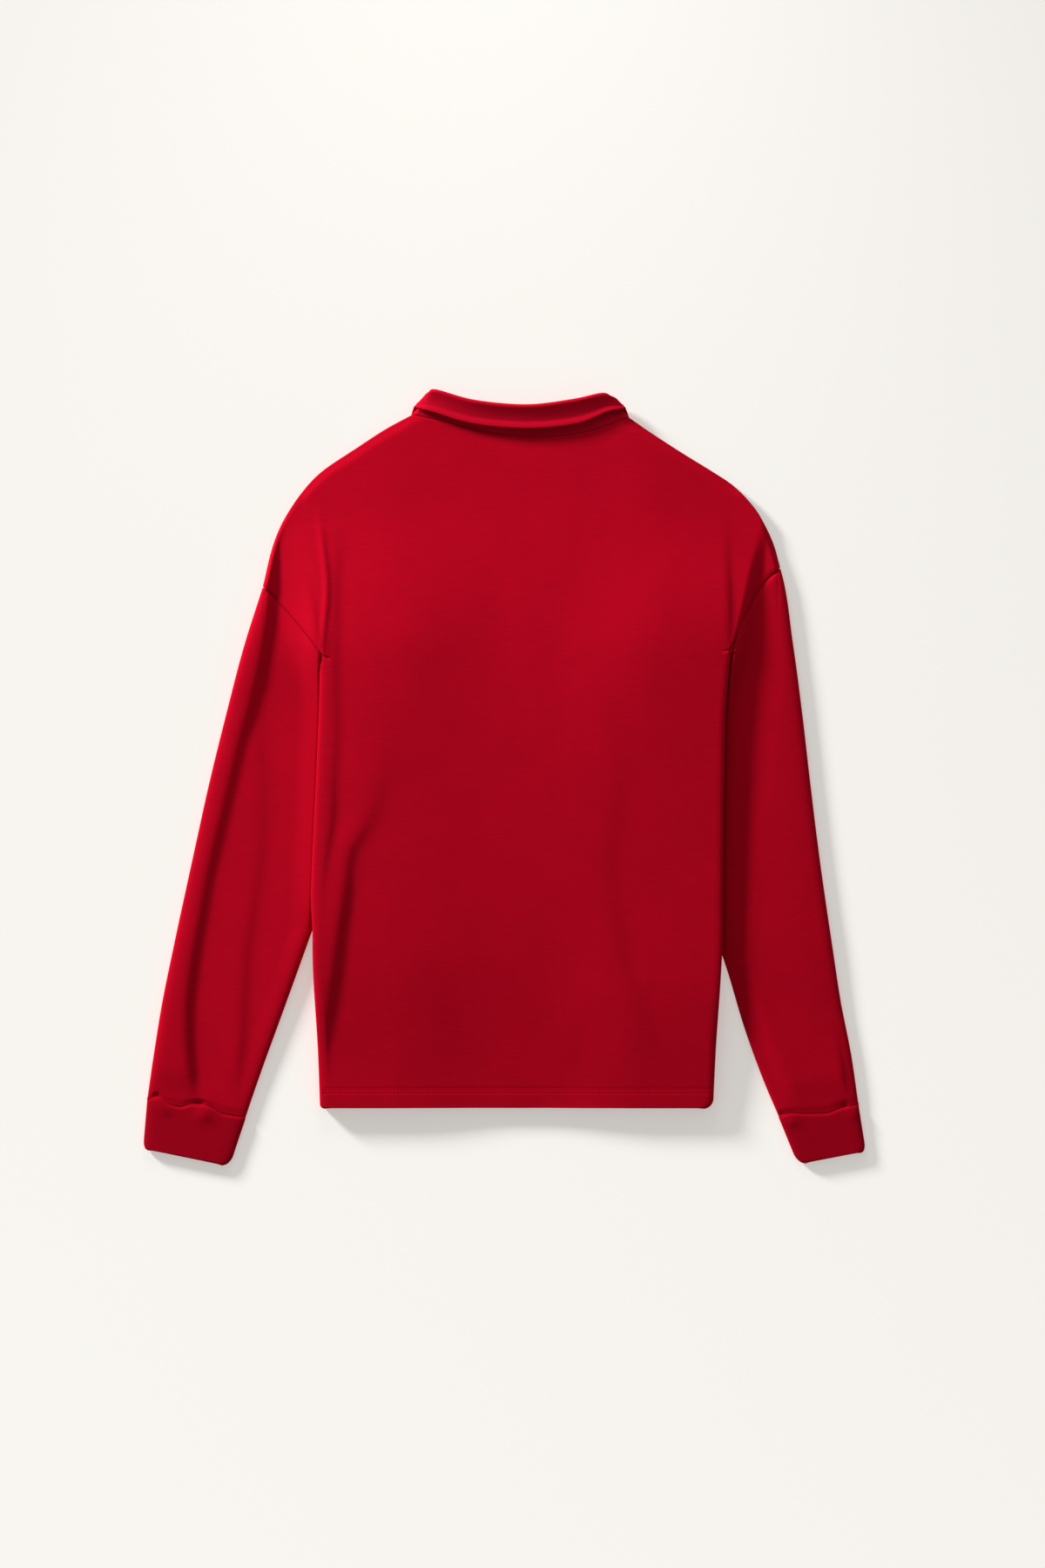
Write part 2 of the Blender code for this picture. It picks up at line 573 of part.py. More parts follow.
def collar_points(way, out):
    """The collar: stand from the neck seam up, a round roll, and the leaf down to its edge."""
    stations = np.linspace(0, 1, len(COLLAR_STATIONS))
    names = ("seam", "roll_x", "roll_y", "edge_x", "edge_y", "roll_z", "edge_z", "facing", "spread")
    at = {}
    for index, name in enumerate(names, start=1):
        at[name] = through(way, stations, column(COLLAR_STATIONS, index))
    seam_x, seam_y = neck_seam(at["seam"])
    on_back = step(-0.02, 0.02, at["seam"]) * step(1.02, 0.98, at["seam"])
    seam_z = front_height(seam_x, seam_y) + (LAYER + LOFT) * on_back
    facing = np.radians(at["facing"])
    side_x = np.where(way < 0.5, -1.0, 1.0) * np.cos(facing)
    up_z = np.sin(facing)
    half = at["spread"] / 2
    leaf_start = STAND_SHARE + ROLL_SHARE
    stand = np.clip(out / STAND_SHARE, 0, 1)
    turn = math.pi * np.clip((out - STAND_SHARE) / ROLL_SHARE, 0, 1)
    leaf = np.clip((out - leaf_start) / (1 - leaf_start), 0, 1)
    run = np.hypot(at["roll_x"] - seam_x, at["roll_y"] - seam_y)
    seam = [seam_x, seam_y, seam_z]
    inner = [at["roll_x"] - half * side_x, at["roll_y"], at["roll_z"] - half * up_z]
    outer = [at["roll_x"] + half * side_x, at["roll_y"], at["roll_z"] + half * up_z]
    edge = [at["edge_x"], at["edge_y"], at["edge_z"]]
    ahead = [(at["roll_x"] - seam_x) / run, (at["roll_y"] - seam_y) / run, 0.0]
    facing_up = np.clip(up_z, 0, 1)
    bend = 0.5 - 0.5 * np.cos(turn)
    sag = (LIP_RISE * step(0.6, 1.0, leaf) - LEAF_SAG * np.sin(math.pi * leaf)) * facing_up
    point = []
    for axis in range(3):
        on_stand = seam[axis] + (inner[axis] - seam[axis]) * stand
        on_roll = inner[axis] + (outer[axis] - inner[axis]) * bend + ahead[axis] * half * np.sin(turn)
        on_leaf = outer[axis] + (edge[axis] - outer[axis]) * leaf
        beyond_stand = np.where(out <= leaf_start, on_roll, on_leaf)
        point.append(np.where(out <= STAND_SHARE, on_stand, beyond_stand))
    point[2] = point[2] + np.where(out > leaf_start, sag, 0.0)
    return point


def placket_points(across, along):
    """A flat strip under the front, from the neckline down."""
    x = (across - 0.5) * PLACKET_WIDTH
    y = PLACKET_TOP - PLACKET_LENGTH * along
    return x, y, PLACKET_HEIGHT + 0.0 * x


def material(name, colour, roughness):
    """Plain finish with the piece's own colour."""
    finish = bpy.data.materials.new(name)
    finish.use_nodes = True
    shader = finish.node_tree.nodes["Principled BSDF"]
    shader.inputs["Base Color"].default_value = colour
    shader.inputs["Roughness"].default_value = roughness
    shader.inputs["Metallic"].default_value = 0.0
    return finish


def finished_object(name, mesh, finish, collection):
    """Put a mesh in the scene with its finish and smooth shading."""
    mesh.materials.append(finish)
    mesh.shade_smooth()
    thing = bpy.data.objects.new(name, mesh)
    collection.objects.link(thing)
    return thing


def cloth_piece(name, columns, rows, place, finish, collection, thickness=CLOTH, keeps=None, tube=False):
    """Grid of columns and rows, placed by a function of column and row, then thickened."""
    grid = bmesh.new()
    bmesh.ops.create_grid(grid, x_segments=columns, y_segments=rows, size=0.5)
    if keeps:
        spare = []
        for face in grid.faces:
            centre = face.calc_center_median()
            if not keeps((centre.x + 0.5) * columns, (centre.y + 0.5) * rows):
                spare.append(face)
        bmesh.ops.delete(grid, geom=spare, context="FACES")
    flat = np.array([vertex.co[:] for vertex in grid.verts])
    x, y, z = place((flat[:, 0] + 0.5) * columns, (flat[:, 1] + 0.5) * rows)
    for vertex, point in zip(grid.verts, np.column_stack([x, y, z]) * MM):
        vertex.co = point
    if tube:
        bmesh.ops.remove_doubles(grid, verts=grid.verts[:], dist=0.01 * MM)
    mesh = bpy.data.meshes.new(name)
    grid.to_mesh(mesh)
    grid.free()
    thing = finished_object(name, mesh, finish, collection)
    wall = thing.modifiers.new("wall", "SOLIDIFY")
    wall.thickness = thickness * MM
    wall.offset = 0.0
    return thing


def button(name, y, finish, collection):
    """A round button with a raised rim and a dished middle, its face to the floor."""
    radius = BUTTON_DIAMETER / 2 * MM
    disc = bmesh.new()
    bmesh.ops.create_cone(
        disc, cap_ends=True, segments=BUTTON_SIDES, radius1=radius * BUTTON_BACK, radius2=radius,
        depth=BUTTON_THICKNESS * MM,
    )
    under = [face for face in disc.faces if face.normal.z < -0.9]
    bmesh.ops.inset_individual(disc, faces=under, thickness=radius * BUTTON_RIM, depth=0)
    dish = -BUTTON_DISH * MM
    bmesh.ops.inset_individual(disc, faces=under, thickness=radius * BUTTON_SLOPE, depth=dish)
    place = (0.0, y * MM, (BUTTON_THICKNESS / 2 + BUTTON_CLEARANCE) * MM)
    bmesh.ops.translate(disc, verts=disc.verts[:], vec=place)
    mesh = bpy.data.meshes.new(name)
    disc.to_mesh(mesh)
    disc.free()
    mesh.materials.append(finish)
    thing = bpy.data.objects.new(name, mesh)
    collection.objects.link(thing)
    mesh.shade_smooth()
    mesh.set_sharp_from_angle(angle=math.radians(SHARP_ANGLE))
    return thing


def build_body(finish, collection):
    """Back and front on one grid, so that their points lie over each other."""
    side_columns = FOLD_COLUMNS + STRIP_COLUMNS
    columns = MAIN_COLUMNS + 2 * side_columns
    for name, neck, is_front in (("back_panel", NECK_BACK, False), ("front_panel", NECK_FRONT, True)):
        cloth_piece(
            name, columns, ROWS,
            lambda i, j, neck=neck, is_front=is_front: body_panel(i, j, neck, is_front),
            finish, collection, keeps=panel_keeps,
        )


def build_sleeve(side, finish, rib_finish, collection):
    """One sleeve and its cuff."""
    cloth_piece(
        "sleeve_" + side, TUBE_COLUMNS, SLEEVE_ROWS,
        lambda i, j: sleeve_points(i / TUBE_COLUMNS, j / SLEEVE_ROWS, side),
        finish, collection, tube=True,
    )
    cloth_piece(
        "cuff_" + side, TUBE_COLUMNS, CUFF_ROWS,
        lambda i, j: cuff_points(i / TUBE_COLUMNS, j / CUFF_ROWS, side),
        rib_finish, collection, thickness=RIB, tube=True,
    )


def build_collar(finish, collection):
    """The folded collar."""
    cloth_piece(
        "collar", COLLAR_COLUMNS, COLLAR_ROWS,
        lambda i, j: collar_points(i / COLLAR_COLUMNS, j / COLLAR_ROWS),
        finish, collection,
    )


def build_closing(finish, button_finish, collection):
    """The placket and its buttons."""
    cloth_piece(
        "placket", PLACKET_COLUMNS, PLACKET_ROWS,
        lambda i, j: placket_points(i / PLACKET_COLUMNS, j / PLACKET_ROWS),
        finish, collection,
    )
    for number, y in enumerate(BUTTON_HEIGHTS, start=1):
        button("button_%d" % number, y, button_finish, collection)


def to_bottom_centre(collection):
    """Move every mesh so that the origin is under the middle of the whole garment."""
    bpy.context.view_layer.update()
    view = bpy.context.evaluated_depsgraph_get()
    corners = []
    for thing in collection.objects:
        solid = thing.evaluated_get(view).to_mesh()
        corners.append(np.array([vertex.co[:] for vertex in solid.vertices]))
    points = np.vstack(corners)
    low, high = points.min(axis=0), points.max(axis=0)
    shift = np.array([-(low[0] + high[0]) / 2, -(low[1] + high[1]) / 2, -low[2]])
    for thing in collection.objects:
        for vertex in thing.data.vertices:
            vertex.co = np.array(vertex.co[:]) + shift
    return shift


def main():
    for old in list(bpy.data.objects):
        bpy.data.objects.remove(old, do_unlink=True)
    collection = bpy.data.collections.new("polo_sweatshirt")
    bpy.context.scene.collection.children.link(collection)
    jersey = material("red_jersey", RED, 0.9)
    rib = material("red_rib", RED_RIB, 0.92)
    shell = material("red_button", RED_BUTTON, 0.35)
    build_body(jersey, collection)
    for side in ("left", "right"):
        build_sleeve(side, jersey, rib, collection)
    build_collar(rib, collection)
    build_closing(jersey, shell, collection)
    to_bottom_centre(collection)


main()
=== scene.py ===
# %% [markdown]
# # Polo sweatshirt, laid flat on its front
# A long-sleeved sweatshirt with a polo collar lies face down on a pale floor, so its plain back
# is up. Its two sides are folded under the body, which is why the body looks narrow. The packed
# CAD model gives every piece its size and place. Here each piece of cloth is made again as a
# finer surface with the same form, and gets its creases, seams, stitches and knitted finish.
# Lengths in this file are millimetres on a drafting plan, with x to the wearer's right, y from
# the hem up to the collar and z up from the floor. They become metres when a mesh is made.

import math

import bpy
import numpy as np
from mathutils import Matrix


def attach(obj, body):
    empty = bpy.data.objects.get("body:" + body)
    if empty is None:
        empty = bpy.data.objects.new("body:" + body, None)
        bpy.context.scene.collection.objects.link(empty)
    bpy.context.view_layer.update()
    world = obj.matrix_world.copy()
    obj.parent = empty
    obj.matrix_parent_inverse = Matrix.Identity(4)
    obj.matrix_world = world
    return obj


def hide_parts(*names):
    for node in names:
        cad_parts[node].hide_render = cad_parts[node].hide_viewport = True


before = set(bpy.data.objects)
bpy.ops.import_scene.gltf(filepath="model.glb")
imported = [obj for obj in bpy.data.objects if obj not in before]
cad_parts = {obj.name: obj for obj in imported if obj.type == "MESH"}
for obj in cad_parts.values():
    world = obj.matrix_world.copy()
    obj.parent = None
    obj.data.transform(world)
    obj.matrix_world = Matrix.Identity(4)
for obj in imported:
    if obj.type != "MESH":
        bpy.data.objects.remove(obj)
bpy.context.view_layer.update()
MM = 0.001
PLAN_SHIFT = np.array([15.965, -325.722, 0.007])   # from the plan's origin to the model's

# %% [markdown]
# ## Curves and grids
# Cloth has no hard corners, so every edge and crease here is a smooth curve through a few
# measured points. Cubic pieces that share the table's own slopes pass through each point
# without overshooting much. Smooth steps and bells then shape the heights.


# %% Smooth curves, steps and bells
def through(at, stations, values):
    """Cubic Hermite curve: each piece meets its neighbours with the table's mean slope."""
    at = np.asarray(at, dtype=float)
    stations = np.asarray(stations, dtype=float)
    values = np.asarray(values, dtype=float)
    slopes = np.gradient(values, stations)
    piece = np.clip(np.searchsorted(stations, at, side="right") - 1, 0, len(stations) - 2)
    span = stations[piece + 1] - stations[piece]
    f = np.clip((at - stations[piece]) / span, 0.0, 1.0)
    return (
        (1 + 2 * f) * (1 - f) ** 2 * values[piece]
        + f * (1 - f) ** 2 * span * slopes[piece]
        + f * f * (3 - 2 * f) * values[piece + 1]
        + f * f * (f - 1) * span * slopes[piece + 1]
    )


def column(table, index):
    """One column of a table."""
    return [row[index] for row in table]


def step(low, high, x):
    """0 at low and 1 at high, with level ends: f squared times (3 - 2f)."""
    f = np.clip((np.asarray(x, dtype=float) - low) / (high - low), 0.0, 1.0)
    return f * f * (3 - 2 * f)


def bump(x, centre, half_width):
    """Bell of height 1: e to the minus square of the distance in half widths."""
    return np.exp(-(((x - centre) / half_width) ** 2))


print("a smooth step halfway:", float(step(0, 2, 1)))
print("a bell two half widths out:", round(float(bump(2, 0, 1)), 3))

# %% [markdown]
# A piece of cloth is a thin shell. Its middle surface is a grid of points, worked out as whole
# arrays from a column number and a row number, and Solidify then gives it two faces and a rim.
# A sleeve or a cuff is a tube, so its last column joins its first. A UV map in metres is kept on
# every piece, so that the knit runs along the cloth and keeps its scale.


# %% Cloth from a grid
def grid_mesh(name, points, across, cloth_uv, wraps=False, keep=None):
    """Quads between neighbouring grid points; a tube joins its last column to its first."""
    rows = len(points) // across
    number = np.arange(len(points)).reshape(rows, across)
    right = np.roll(number, -1, axis=1) if wraps else number[:, 1:]
    left = number if wraps else number[:, :-1]
    quads = np.stack([left[:-1], right[:-1], right[1:], left[1:]], axis=-1).reshape(-1, 4)
    if keep is not None:
        quads = quads[keep(quads)]
        used, flat = np.unique(quads, return_inverse=True)
        quads = flat.reshape(-1, 4)
        points, cloth_uv = points[used], cloth_uv[used]
    mesh = bpy.data.meshes.new(name)
    mesh.vertices.add(len(points))
    mesh.vertices.foreach_set("co", ((points + PLAN_SHIFT) * MM).ravel())
    mesh.loops.add(quads.size)
    mesh.loops.foreach_set("vertex_index", quads.ravel().astype(np.int32))
    mesh.polygons.add(len(quads))
    mesh.polygons.foreach_set("loop_start", np.arange(0, quads.size, 4, dtype=np.int32))
    layer = mesh.uv_layers.new(name="cloth")
    layer.data.foreach_set("uv", (cloth_uv[quads.ravel()] * MM).ravel())
    mesh.update(calc_edges=True)
    mesh.validate()
    mesh.shade_smooth()
    return mesh


def cloth_object(name, mesh, wall, finish):
    """An object at the origin, with the wall's thickness laid evenly on both sides."""
    thing = bpy.data.objects.new(name, mesh)
    bpy.context.scene.collection.objects.link(thing)
    mesh.materials.append(finish)
    if wall:
        shell = thing.modifiers.new("wall", "SOLIDIFY")
        shell.thickness = wall * MM
        shell.offset = 0.0
    print(name, "has", len(mesh.polygons), "quads and a wall of", wall, "mm")
    return thing


def spaced(stretches):
    """Grid lines between stations: each stretch is its start, its end and its number of steps."""
    lines = [np.linspace(a, b, n, endpoint=False) for a, b, n in stretches]
    return np.append(np.concatenate(lines), stretches[-1][1])


# %% [markdown]
# ## The knit
# The cloth is a brushed jersey: from a distance an even deep red, closer up fine streaks across
# the body where the rows of loops vary. A stretched noise on the cloth's own map gives those
# streaks in colour and height, and a fine ribbed wave gives the wales. The gloss is almost
# nothing, with a weak red sheen from the brushed fibres.


# %% A knitted finish
def knit(name, colour, streak, wale_pitch, bump_height, sheen=0.12, roughness=0.9):
    """Red cloth: stretched noise varies colour and height, a wave across the map adds wales."""
    finish = bpy.data.materials.new(name)
    finish.use_nodes = True
    nodes, links = finish.node_tree.nodes, finish.node_tree.links
    shader = nodes["Principled BSDF"]
    shader.inputs["Roughness"].default_value = roughness
    shader.inputs["Specular IOR Level"].default_value = 0.02
    shader.inputs["Sheen Weight"].default_value = sheen
    shader.inputs["Sheen Roughness"].default_value = 0.45
    shader.inputs["Sheen Tint"].default_value = (1.0, 0.02, 0.06, 1.0)
    uv = nodes.new("ShaderNodeUVMap")
    uv.uv_map = "cloth"
    lay = nodes.new("ShaderNodeMapping")
    lay.inputs["Scale"].default_value = (50.0, 480.0, 1.0)
    links.new(uv.outputs["UV"], lay.inputs["Vector"])
    streaks = nodes.new("ShaderNodeTexNoise")
    streaks.inputs["Scale"].default_value = 1.0
    streaks.inputs["Detail"].default_value = 4.0
    streaks.inputs["Roughness"].default_value = 0.7
    links.new(lay.outputs["Vector"], streaks.inputs["Vector"])
    clouds = nodes.new("ShaderNodeTexNoise")
    clouds.inputs["Scale"].default_value = 24.0
    clouds.inputs["Detail"].default_value = 3.0
    links.new(uv.outputs["UV"], clouds.inputs["Vector"])
    tone = nodes.new("ShaderNodeValToRGB")
    dark = [channel * (1.0 - streak) for channel in colour]
    light = [channel * (1.0 + streak) for channel in colour]
    tone.color_ramp.elements[0].position = 0.28
    tone.color_ramp.elements[0].color = (*dark, 1.0)
    tone.color_ramp.elements[1].position = 0.72
    tone.color_ramp.elements[1].color = (*light, 1.0)
    mixed = nodes.new("ShaderNodeMix")
    mixed.data_type = "FLOAT"
    mixed.inputs["Factor"].default_value = 0.3
    links.new(streaks.outputs["Fac"], mixed.inputs["A"])
    links.new(clouds.outputs["Fac"], mixed.inputs["B"])
    links.new(mixed.outputs["Result"], tone.inputs["Fac"])
    links.new(tone.outputs["Color"], shader.inputs["Base Color"])
    wales = nodes.new("ShaderNodeTexWave")
    wales.bands_direction = "X"
    wales.inputs["Scale"].default_value = 2.0 * math.pi / (wale_pitch * MM) / 20.0
    wales.inputs["Distortion"].default_value = 0.6
    wales.inputs["Detail"].default_value = 1.0
    links.new(uv.outputs["UV"], wales.inputs["Vector"])
    relief = nodes.new("ShaderNodeMix")
    relief.data_type = "FLOAT"
    relief.inputs["Factor"].default_value = 0.2
    links.new(streaks.outputs["Fac"], relief.inputs["A"])
    links.new(wales.outputs["Fac"], relief.inputs["B"])
    height = nodes.new("ShaderNodeBump")
    height.inputs["Strength"].default_value = 0.5
    height.inputs["Distance"].default_value = bump_height * MM
    links.new(relief.outputs["Result"], height.inputs["Height"])
    links.new(height.outputs["Normal"], shader.inputs["Normal"])
    return finish


JERSEY_RED = (0.43, 0.0012, 0.0125)
# Painted shade: the cuffs are the body's jersey, but their red is set darker to stand for the weaker
# light at the lower end of the garment.
CUFF_RED_PAINTED_DARKER = (0.35, 0.0010, 0.0105)
COLLAR_RED = (0.45, 0.0020, 0.0160)
jersey = knit("red jersey", JERSEY_RED, 0.1, 1.1, 0.25)
cuff_jersey_painted_darker = knit("red cuff jersey with painted shade", CUFF_RED_PAINTED_DARKER, 0.06, 1.0, 0.22)
collar_knit = knit("red collar jersey", COLLAR_RED, 0.05, 1.0, 0.2, sheen=0.25)
print("knits:", [m.name for m in bpy.data.materials if m.name.startswith("red")])

# %% [markdown]
# ## The plan of the body
# The plan holds the measured outline: the folded sides, the armhole seams, the shoulders and the
# necklines. They are the CAD model's own values, so the finer cloth lies exactly on its solid.

# %% Sizes of the cloth and its folds
CLOTH = 1.6                # thickness of the brushed jersey
HEM_DEPTH = 18.0           # the hem's turned-up cloth
HEM_DOUBLE = 0.35          # how much higher its second layer holds the back
HEM_STITCHES = (18.9, 15.6)    # heights of the twin needle's two rows
STITCH_GROOVE = 0.35       # how far a row of stitches presses the cloth in
RIB = 2.2                  # a cuff's double wall
LAYER = 2.5                # from one layer's middle to the next
SEAM_GAP = 0.2             # between two pieces at a seam
ARMHOLE_GAP = 0.5          # the armhole's seam, where two sides bend differently
SEAM_GROOVE = 1.0          # how far a seam pulls its two edges down
FLOOR_LAYER = CLOTH / 2    # middle of a layer on the floor
TURN_UNDER = 76.0          # width of the side folded under
EDGE_ROLL = 9.0            # width of the body's round edge
FOLD_SQUARENESS = 0.28      # power of the cosine in a fold's section
SLEEVE_LIFT = 7.0          # how far the sleeve lifts the body's edge
COLLAR_LIFT = 4.6          # how far the front leaf and buttons lift the front
LOFT = 1.3                 # air between front and back
EDGE_BULGE = {"left": 2.8, "right": 0.6}   # how far the body's edge leans out over the sleeve
FOLD_OPENING = 3.4         # air in the front's own fold
MAIN_COLUMNS, FOLD_COLUMNS, STRIP_COLUMNS, ROWS = 24, 4, 3, 24
UNDERARM_ROW, NECK_COLUMN = 17, 8
UNDERARM_LAP, UNDERARM_DROP = 0.7, 0.3   # the side's fold ends a little under the armhole's edge
HEM_CORNER = {"left": 4.0, "right": 9.0}     # radius of the body's lower corners
print("four layers stand", FLOOR_LAYER + LAYER * 3 + LOFT + FOLD_OPENING, "mm high at the folded side")

# %% Outline of the body, armholes, shoulders and necklines
# Body edge: height, left x, right x. It's a fold up to the underarm, and a crease above it.
BODY_EDGE = [
    (0, -198.0, 190.5), (55, -200.0, 193.0), (155, -205.0, 199.0), (235, -203.0, 199.5),
    (320, -199.0, 200.5), (405, -195.5, 203.0), (445, -194.5, 207.0), (495, -191.5, 217.0),
    (545, -194.0, 228.0), (575, -198.0, 236.0),
]
ARMHOLE = {
    "left": [(-254.5, 515.0), (-230.0, 490.0), (-213.0, 470.0), (-194.5, 447.0), (-150.0, 398.0)],
    "right": [(155.0, 402.0), (207.0, 455.0), (221.0, 484.0), (237.0, 512.0), (257.0, 534.0)],
}
SEAM_ENDS = {"left": (-192.5, -254.0), "right": (204.5, 256.5)}
CORNER_EASE = 0.3
SHOULDER = {   # share of the way from the shoulder point to the side of the neck, x, y
    "left": [
        (0.00, -254.5, 515.0), (0.14, -245.5, 551.0), (0.28, -235.0, 578.0), (0.46, -214.6, 609.7),
        (0.62, -194.0, 630.4), (0.76, -163.0, 651.0), (0.89, -132.0, 671.0), (1.00, -106.6, 684.6),
    ],
    "right": [
        (0.00, 257.0, 534.0), (0.10, 251.6, 553.8), (0.24, 241.2, 576.2), (0.38, 230.9, 593.4),
        (0.52, 210.3, 614.9), (0.64, 189.6, 628.7), (0.78, 158.7, 647.6), (0.90, 127.7, 667.6),
        (1.00, 107.0, 682.0),
    ],
}
NECK_BACK = [
    (0.00, -106.6, 684.6), (0.22, -57.0, 673.0), (0.42, -17.0, 664.8), (0.52, 6.0, 663.2),
    (0.62, 30.0, 662.6), (0.84, 77.0, 670.5), (1.00, 107.0, 682.0),
]
NECK_FRONT = [
    (0.00, -106.6, 684.6), (0.14, -99.0, 658.0), (0.30, -70.0, 626.0), (0.50, 0.0, 605.0),
    (0.70, 70.0, 625.0), (0.86, 99.0, 656.0), (1.00, 107.0, 682.0),
]
print("the body shows", BODY_EDGE[0][2] - BODY_EDGE[0][1], "mm wide at the hem")
print("from the hem to the side of the neck it is", NECK_BACK[0][2], "mm long")

# %% Outline of the sleeves and cuffs
SLEEVE_OUTER = {   # height and x of the outer edge, from the cuff's seam up
    "left": [
        (8, -369.2), (53, -362.5), (105, -354.0), (156, -343.6), (247, -324.0), (320, -308.0),
        (389, -291.0), (457, -273.0), (515, -254.5), (578, -235.0), (612, -212.0),
    ],
    "right": [
        (3, 334.6), (53, 327.2), (105, 317.0), (156, 309.2), (247, 296.0), (320, 287.0),
        (389, 279.0), (457, 270.0), (534, 257.0), (576, 241.2), (615, 210.0),
    ],
}
SLEEVE_LINES = {   # lines across a sleeve: share of its length, outer y, inner x, inner y
    "left": [
        (0.00, 515.0, -150.0, 398.0), (0.14, 457.0, -152.0, 348.0), (0.27, 389.0, -158.0, 306.0),
        (0.40, 320.0, -173.0, 265.0), (0.54, 247.0, -190.5, 218.0), (0.70, 156.5, -217.8, 143.0),
        (0.81, 105.0, -237.2, 90.0), (0.91, 53.3, -255.5, 40.0), (1.00, 8.0, -272.5, -8.8),
    ],
    "right": [
        (0.00, 534.0, 155.0, 400.0), (0.14, 457.0, 155.0, 346.0), (0.27, 389.0, 157.0, 300.0),
        (0.40, 320.0, 165.0, 257.0), (0.54, 247.0, 183.0, 200.0), (0.70, 156.5, 206.8, 130.7),
        (0.81, 105.0, 222.3, 79.1), (0.91, 53.3, 240.0, 30.0), (1.00, 3.0, 256.0, -8.0),
    ],
}
CROSSING = {"left": 175.0, "right": 139.0}   # where the sleeve comes out from under the body
CUFF_CORNERS = {
    "left": [(-369.2, 8.0), (-272.5, -8.8), (-373.4, -41.5), (-288.0, -56.5)],
    "right": [(334.6, 3.0), (256.0, -8.0), (342.0, -44.0), (275.0, -54.5)],
}
CUFF_CORNER_RADIUS = 7.0
CUFF_HEIGHT = 5.0
print("the sleeves come out from under the body at", CROSSING, "mm above the hem")

# %% [markdown]
# ## Heights of the body
# The front lies on the floor and climbs over the sides that are folded under it, over the
# sleeves and over the collar's front leaf. The back lies over the front with a little air, and
# bulges and dips along its creases. Each crease is a soft ridge or trough of its own size along
# its own path, because creases made from one repeated shape look like corrugation.

# %% Creases of the back
# A fold drops to its right. Each row is: height up the body, x of the drop's middle, depth,
# half width, and how far the cloth takes to settle to its left and to its right.
BACK_FOLDS = {
    "edge trough": [
        (575, -177.0, 0.6, 7.0, 60, 12), (543, -178.5, 1.8, 6.0, 60, 14),
        (492, -180.0, 2.6, 6.0, 60, 16),
        (440, -181.0, 2.2, 6.0, 60, 18), (363, -180.0, 2.2, 6.0, 60, 14),
        (320, -182.3, 2.8, 6.0, 60, 11),
        (285, -183.6, 3.2, 5.5, 60, 10), (251, -189.2, 2.4, 5.5, 60, 10),
        (217, -194.8, 1.0, 5.0, 60, 10),
        (182, -198.0, 0.0, 5.0, 60, 10),
    ],
    "long diagonal": [
        (410, -132.0, 0.0, 16.0, 26, 90), (354, -135.0, 1.4, 15.0, 24, 90),
        (320, -137.0, 2.4, 13.0, 26, 90),
        (285, -148.0, 2.6, 10.0, 30, 90), (251, -165.6, 3.4, 6.5, 50, 90),
        (217, -169.4, 4.4, 6.0, 120, 90),
        (182, -174.6, 4.8, 5.6, 160, 90), (148, -179.3, 4.8, 5.6, 160, 90),
        (113, -184.5, 4.4, 5.4, 160, 90),
        (79, -189.6, 3.6, 5.2, 160, 90), (45, -193.9, 2.2, 5.0, 160, 80),
        (12, -196.5, 0.0, 5.0, 160, 80),
    ],
    "right drop": [
        (430, 84.0, 0.0, 16.0, 60, 60), (388, 90.0, 1.2, 15.0, 60, 60), (320, 97.0, 2.0, 14.0, 60, 60),
        (277, 93.0, 2.1, 13.0, 60, 55), (234, 88.5, 2.2, 13.0, 60, 50), (191, 95.5, 2.0, 11.0, 60, 45),
        (148, 101.5, 1.9, 9.0, 55, 40), (105, 118.5, 1.5, 9.0, 50, 40), (62, 133.0, 0.9, 12.0, 50, 40),
        (20, 142.0, 0.0, 14.0, 50, 40),
    ],
    "low middle": [
        (120, 62.0, 0.0, 18.0, 60, 60), (80, 54.0, 1.0, 18.0, 60, 60), (45, 46.0, 1.4, 17.0, 60, 50),
        (18, 40.0, 0.8, 15.0, 60, 50), (0, 38.0, 0.0, 15.0, 60, 50),
    ],
    "right pinch": [
        (590, 204.0, 0.0, 5.0, 40, 8), (565, 205.0, 0.7, 4.6, 40, 8), (543, 205.5, 1.8, 4.4, 40, 8),
        (492, 207.5, 3.0, 4.2, 40, 7), (462, 206.8, 1.6, 4.0, 40, 7), (440, 206.0, 0.0, 4.0, 40, 7),
    ],
    "armpit drop": [
        (535, -213.0, 0.0, 4.0, 16, 30), (515, -208.0, 0.8, 3.8, 16, 30),
        (492, -202.5, 2.0, 3.6, 15, 30),
        (466, -198.6, 2.0, 3.4, 14, 30), (450, -196.5, 1.0, 3.2, 14, 30),
        (440, -196.0, 0.0, 3.2, 14, 30),
    ],
}
# A sharp crease raised like a pressed edge: height up the body, x, height of the ridge.
EDGE_RIDGE = [
    (425, -195.0, 0.0), (449, -194.8, 0.9), (478, -193.1, 1.3), (495, -191.4, 1.5), (526, -191.4, 1.5),
    (547, -193.9, 1.4), (573, -197.4, 0.7), (596, -200.0, 0.0),
]
EDGE_RIDGE_WIDTH = 3.4
# The front is hidden, and lies more tightly than the back: a few low creases like the back's.
FRONT_FOLDS = {
    "left run": [
        (60, -62.0, 0.0, 9.0, 30, 20), (120, -70.0, 1.3, 8.0, 30, 20), (210, -84.0, 1.9, 7.0, 26, 20),
        (300, -88.0, 1.2, 9.0, 30, 20), (370, -84.0, 0.0, 10.0, 30, 20),
    ],
    "right run": [
        (40, 96.0, 0.0, 8.0, 24, 20), (90, 90.0, 1.1, 7.0, 24, 20), (150, 79.0, 1.6, 7.0, 22, 20),
        (220, 74.0, 0.8, 9.0, 26, 20), (270, 72.0, 0.0, 9.0, 26, 20),
    ],
    "under the placket": [
        (300, 12.0, 0.0, 10.0, 22, 20), (350, 6.0, 1.2, 9.0, 22, 20), (410, 14.0, 1.5, 8.0, 22, 20),
        (450, 20.0, 0.0, 8.0, 22, 20),
    ],
}
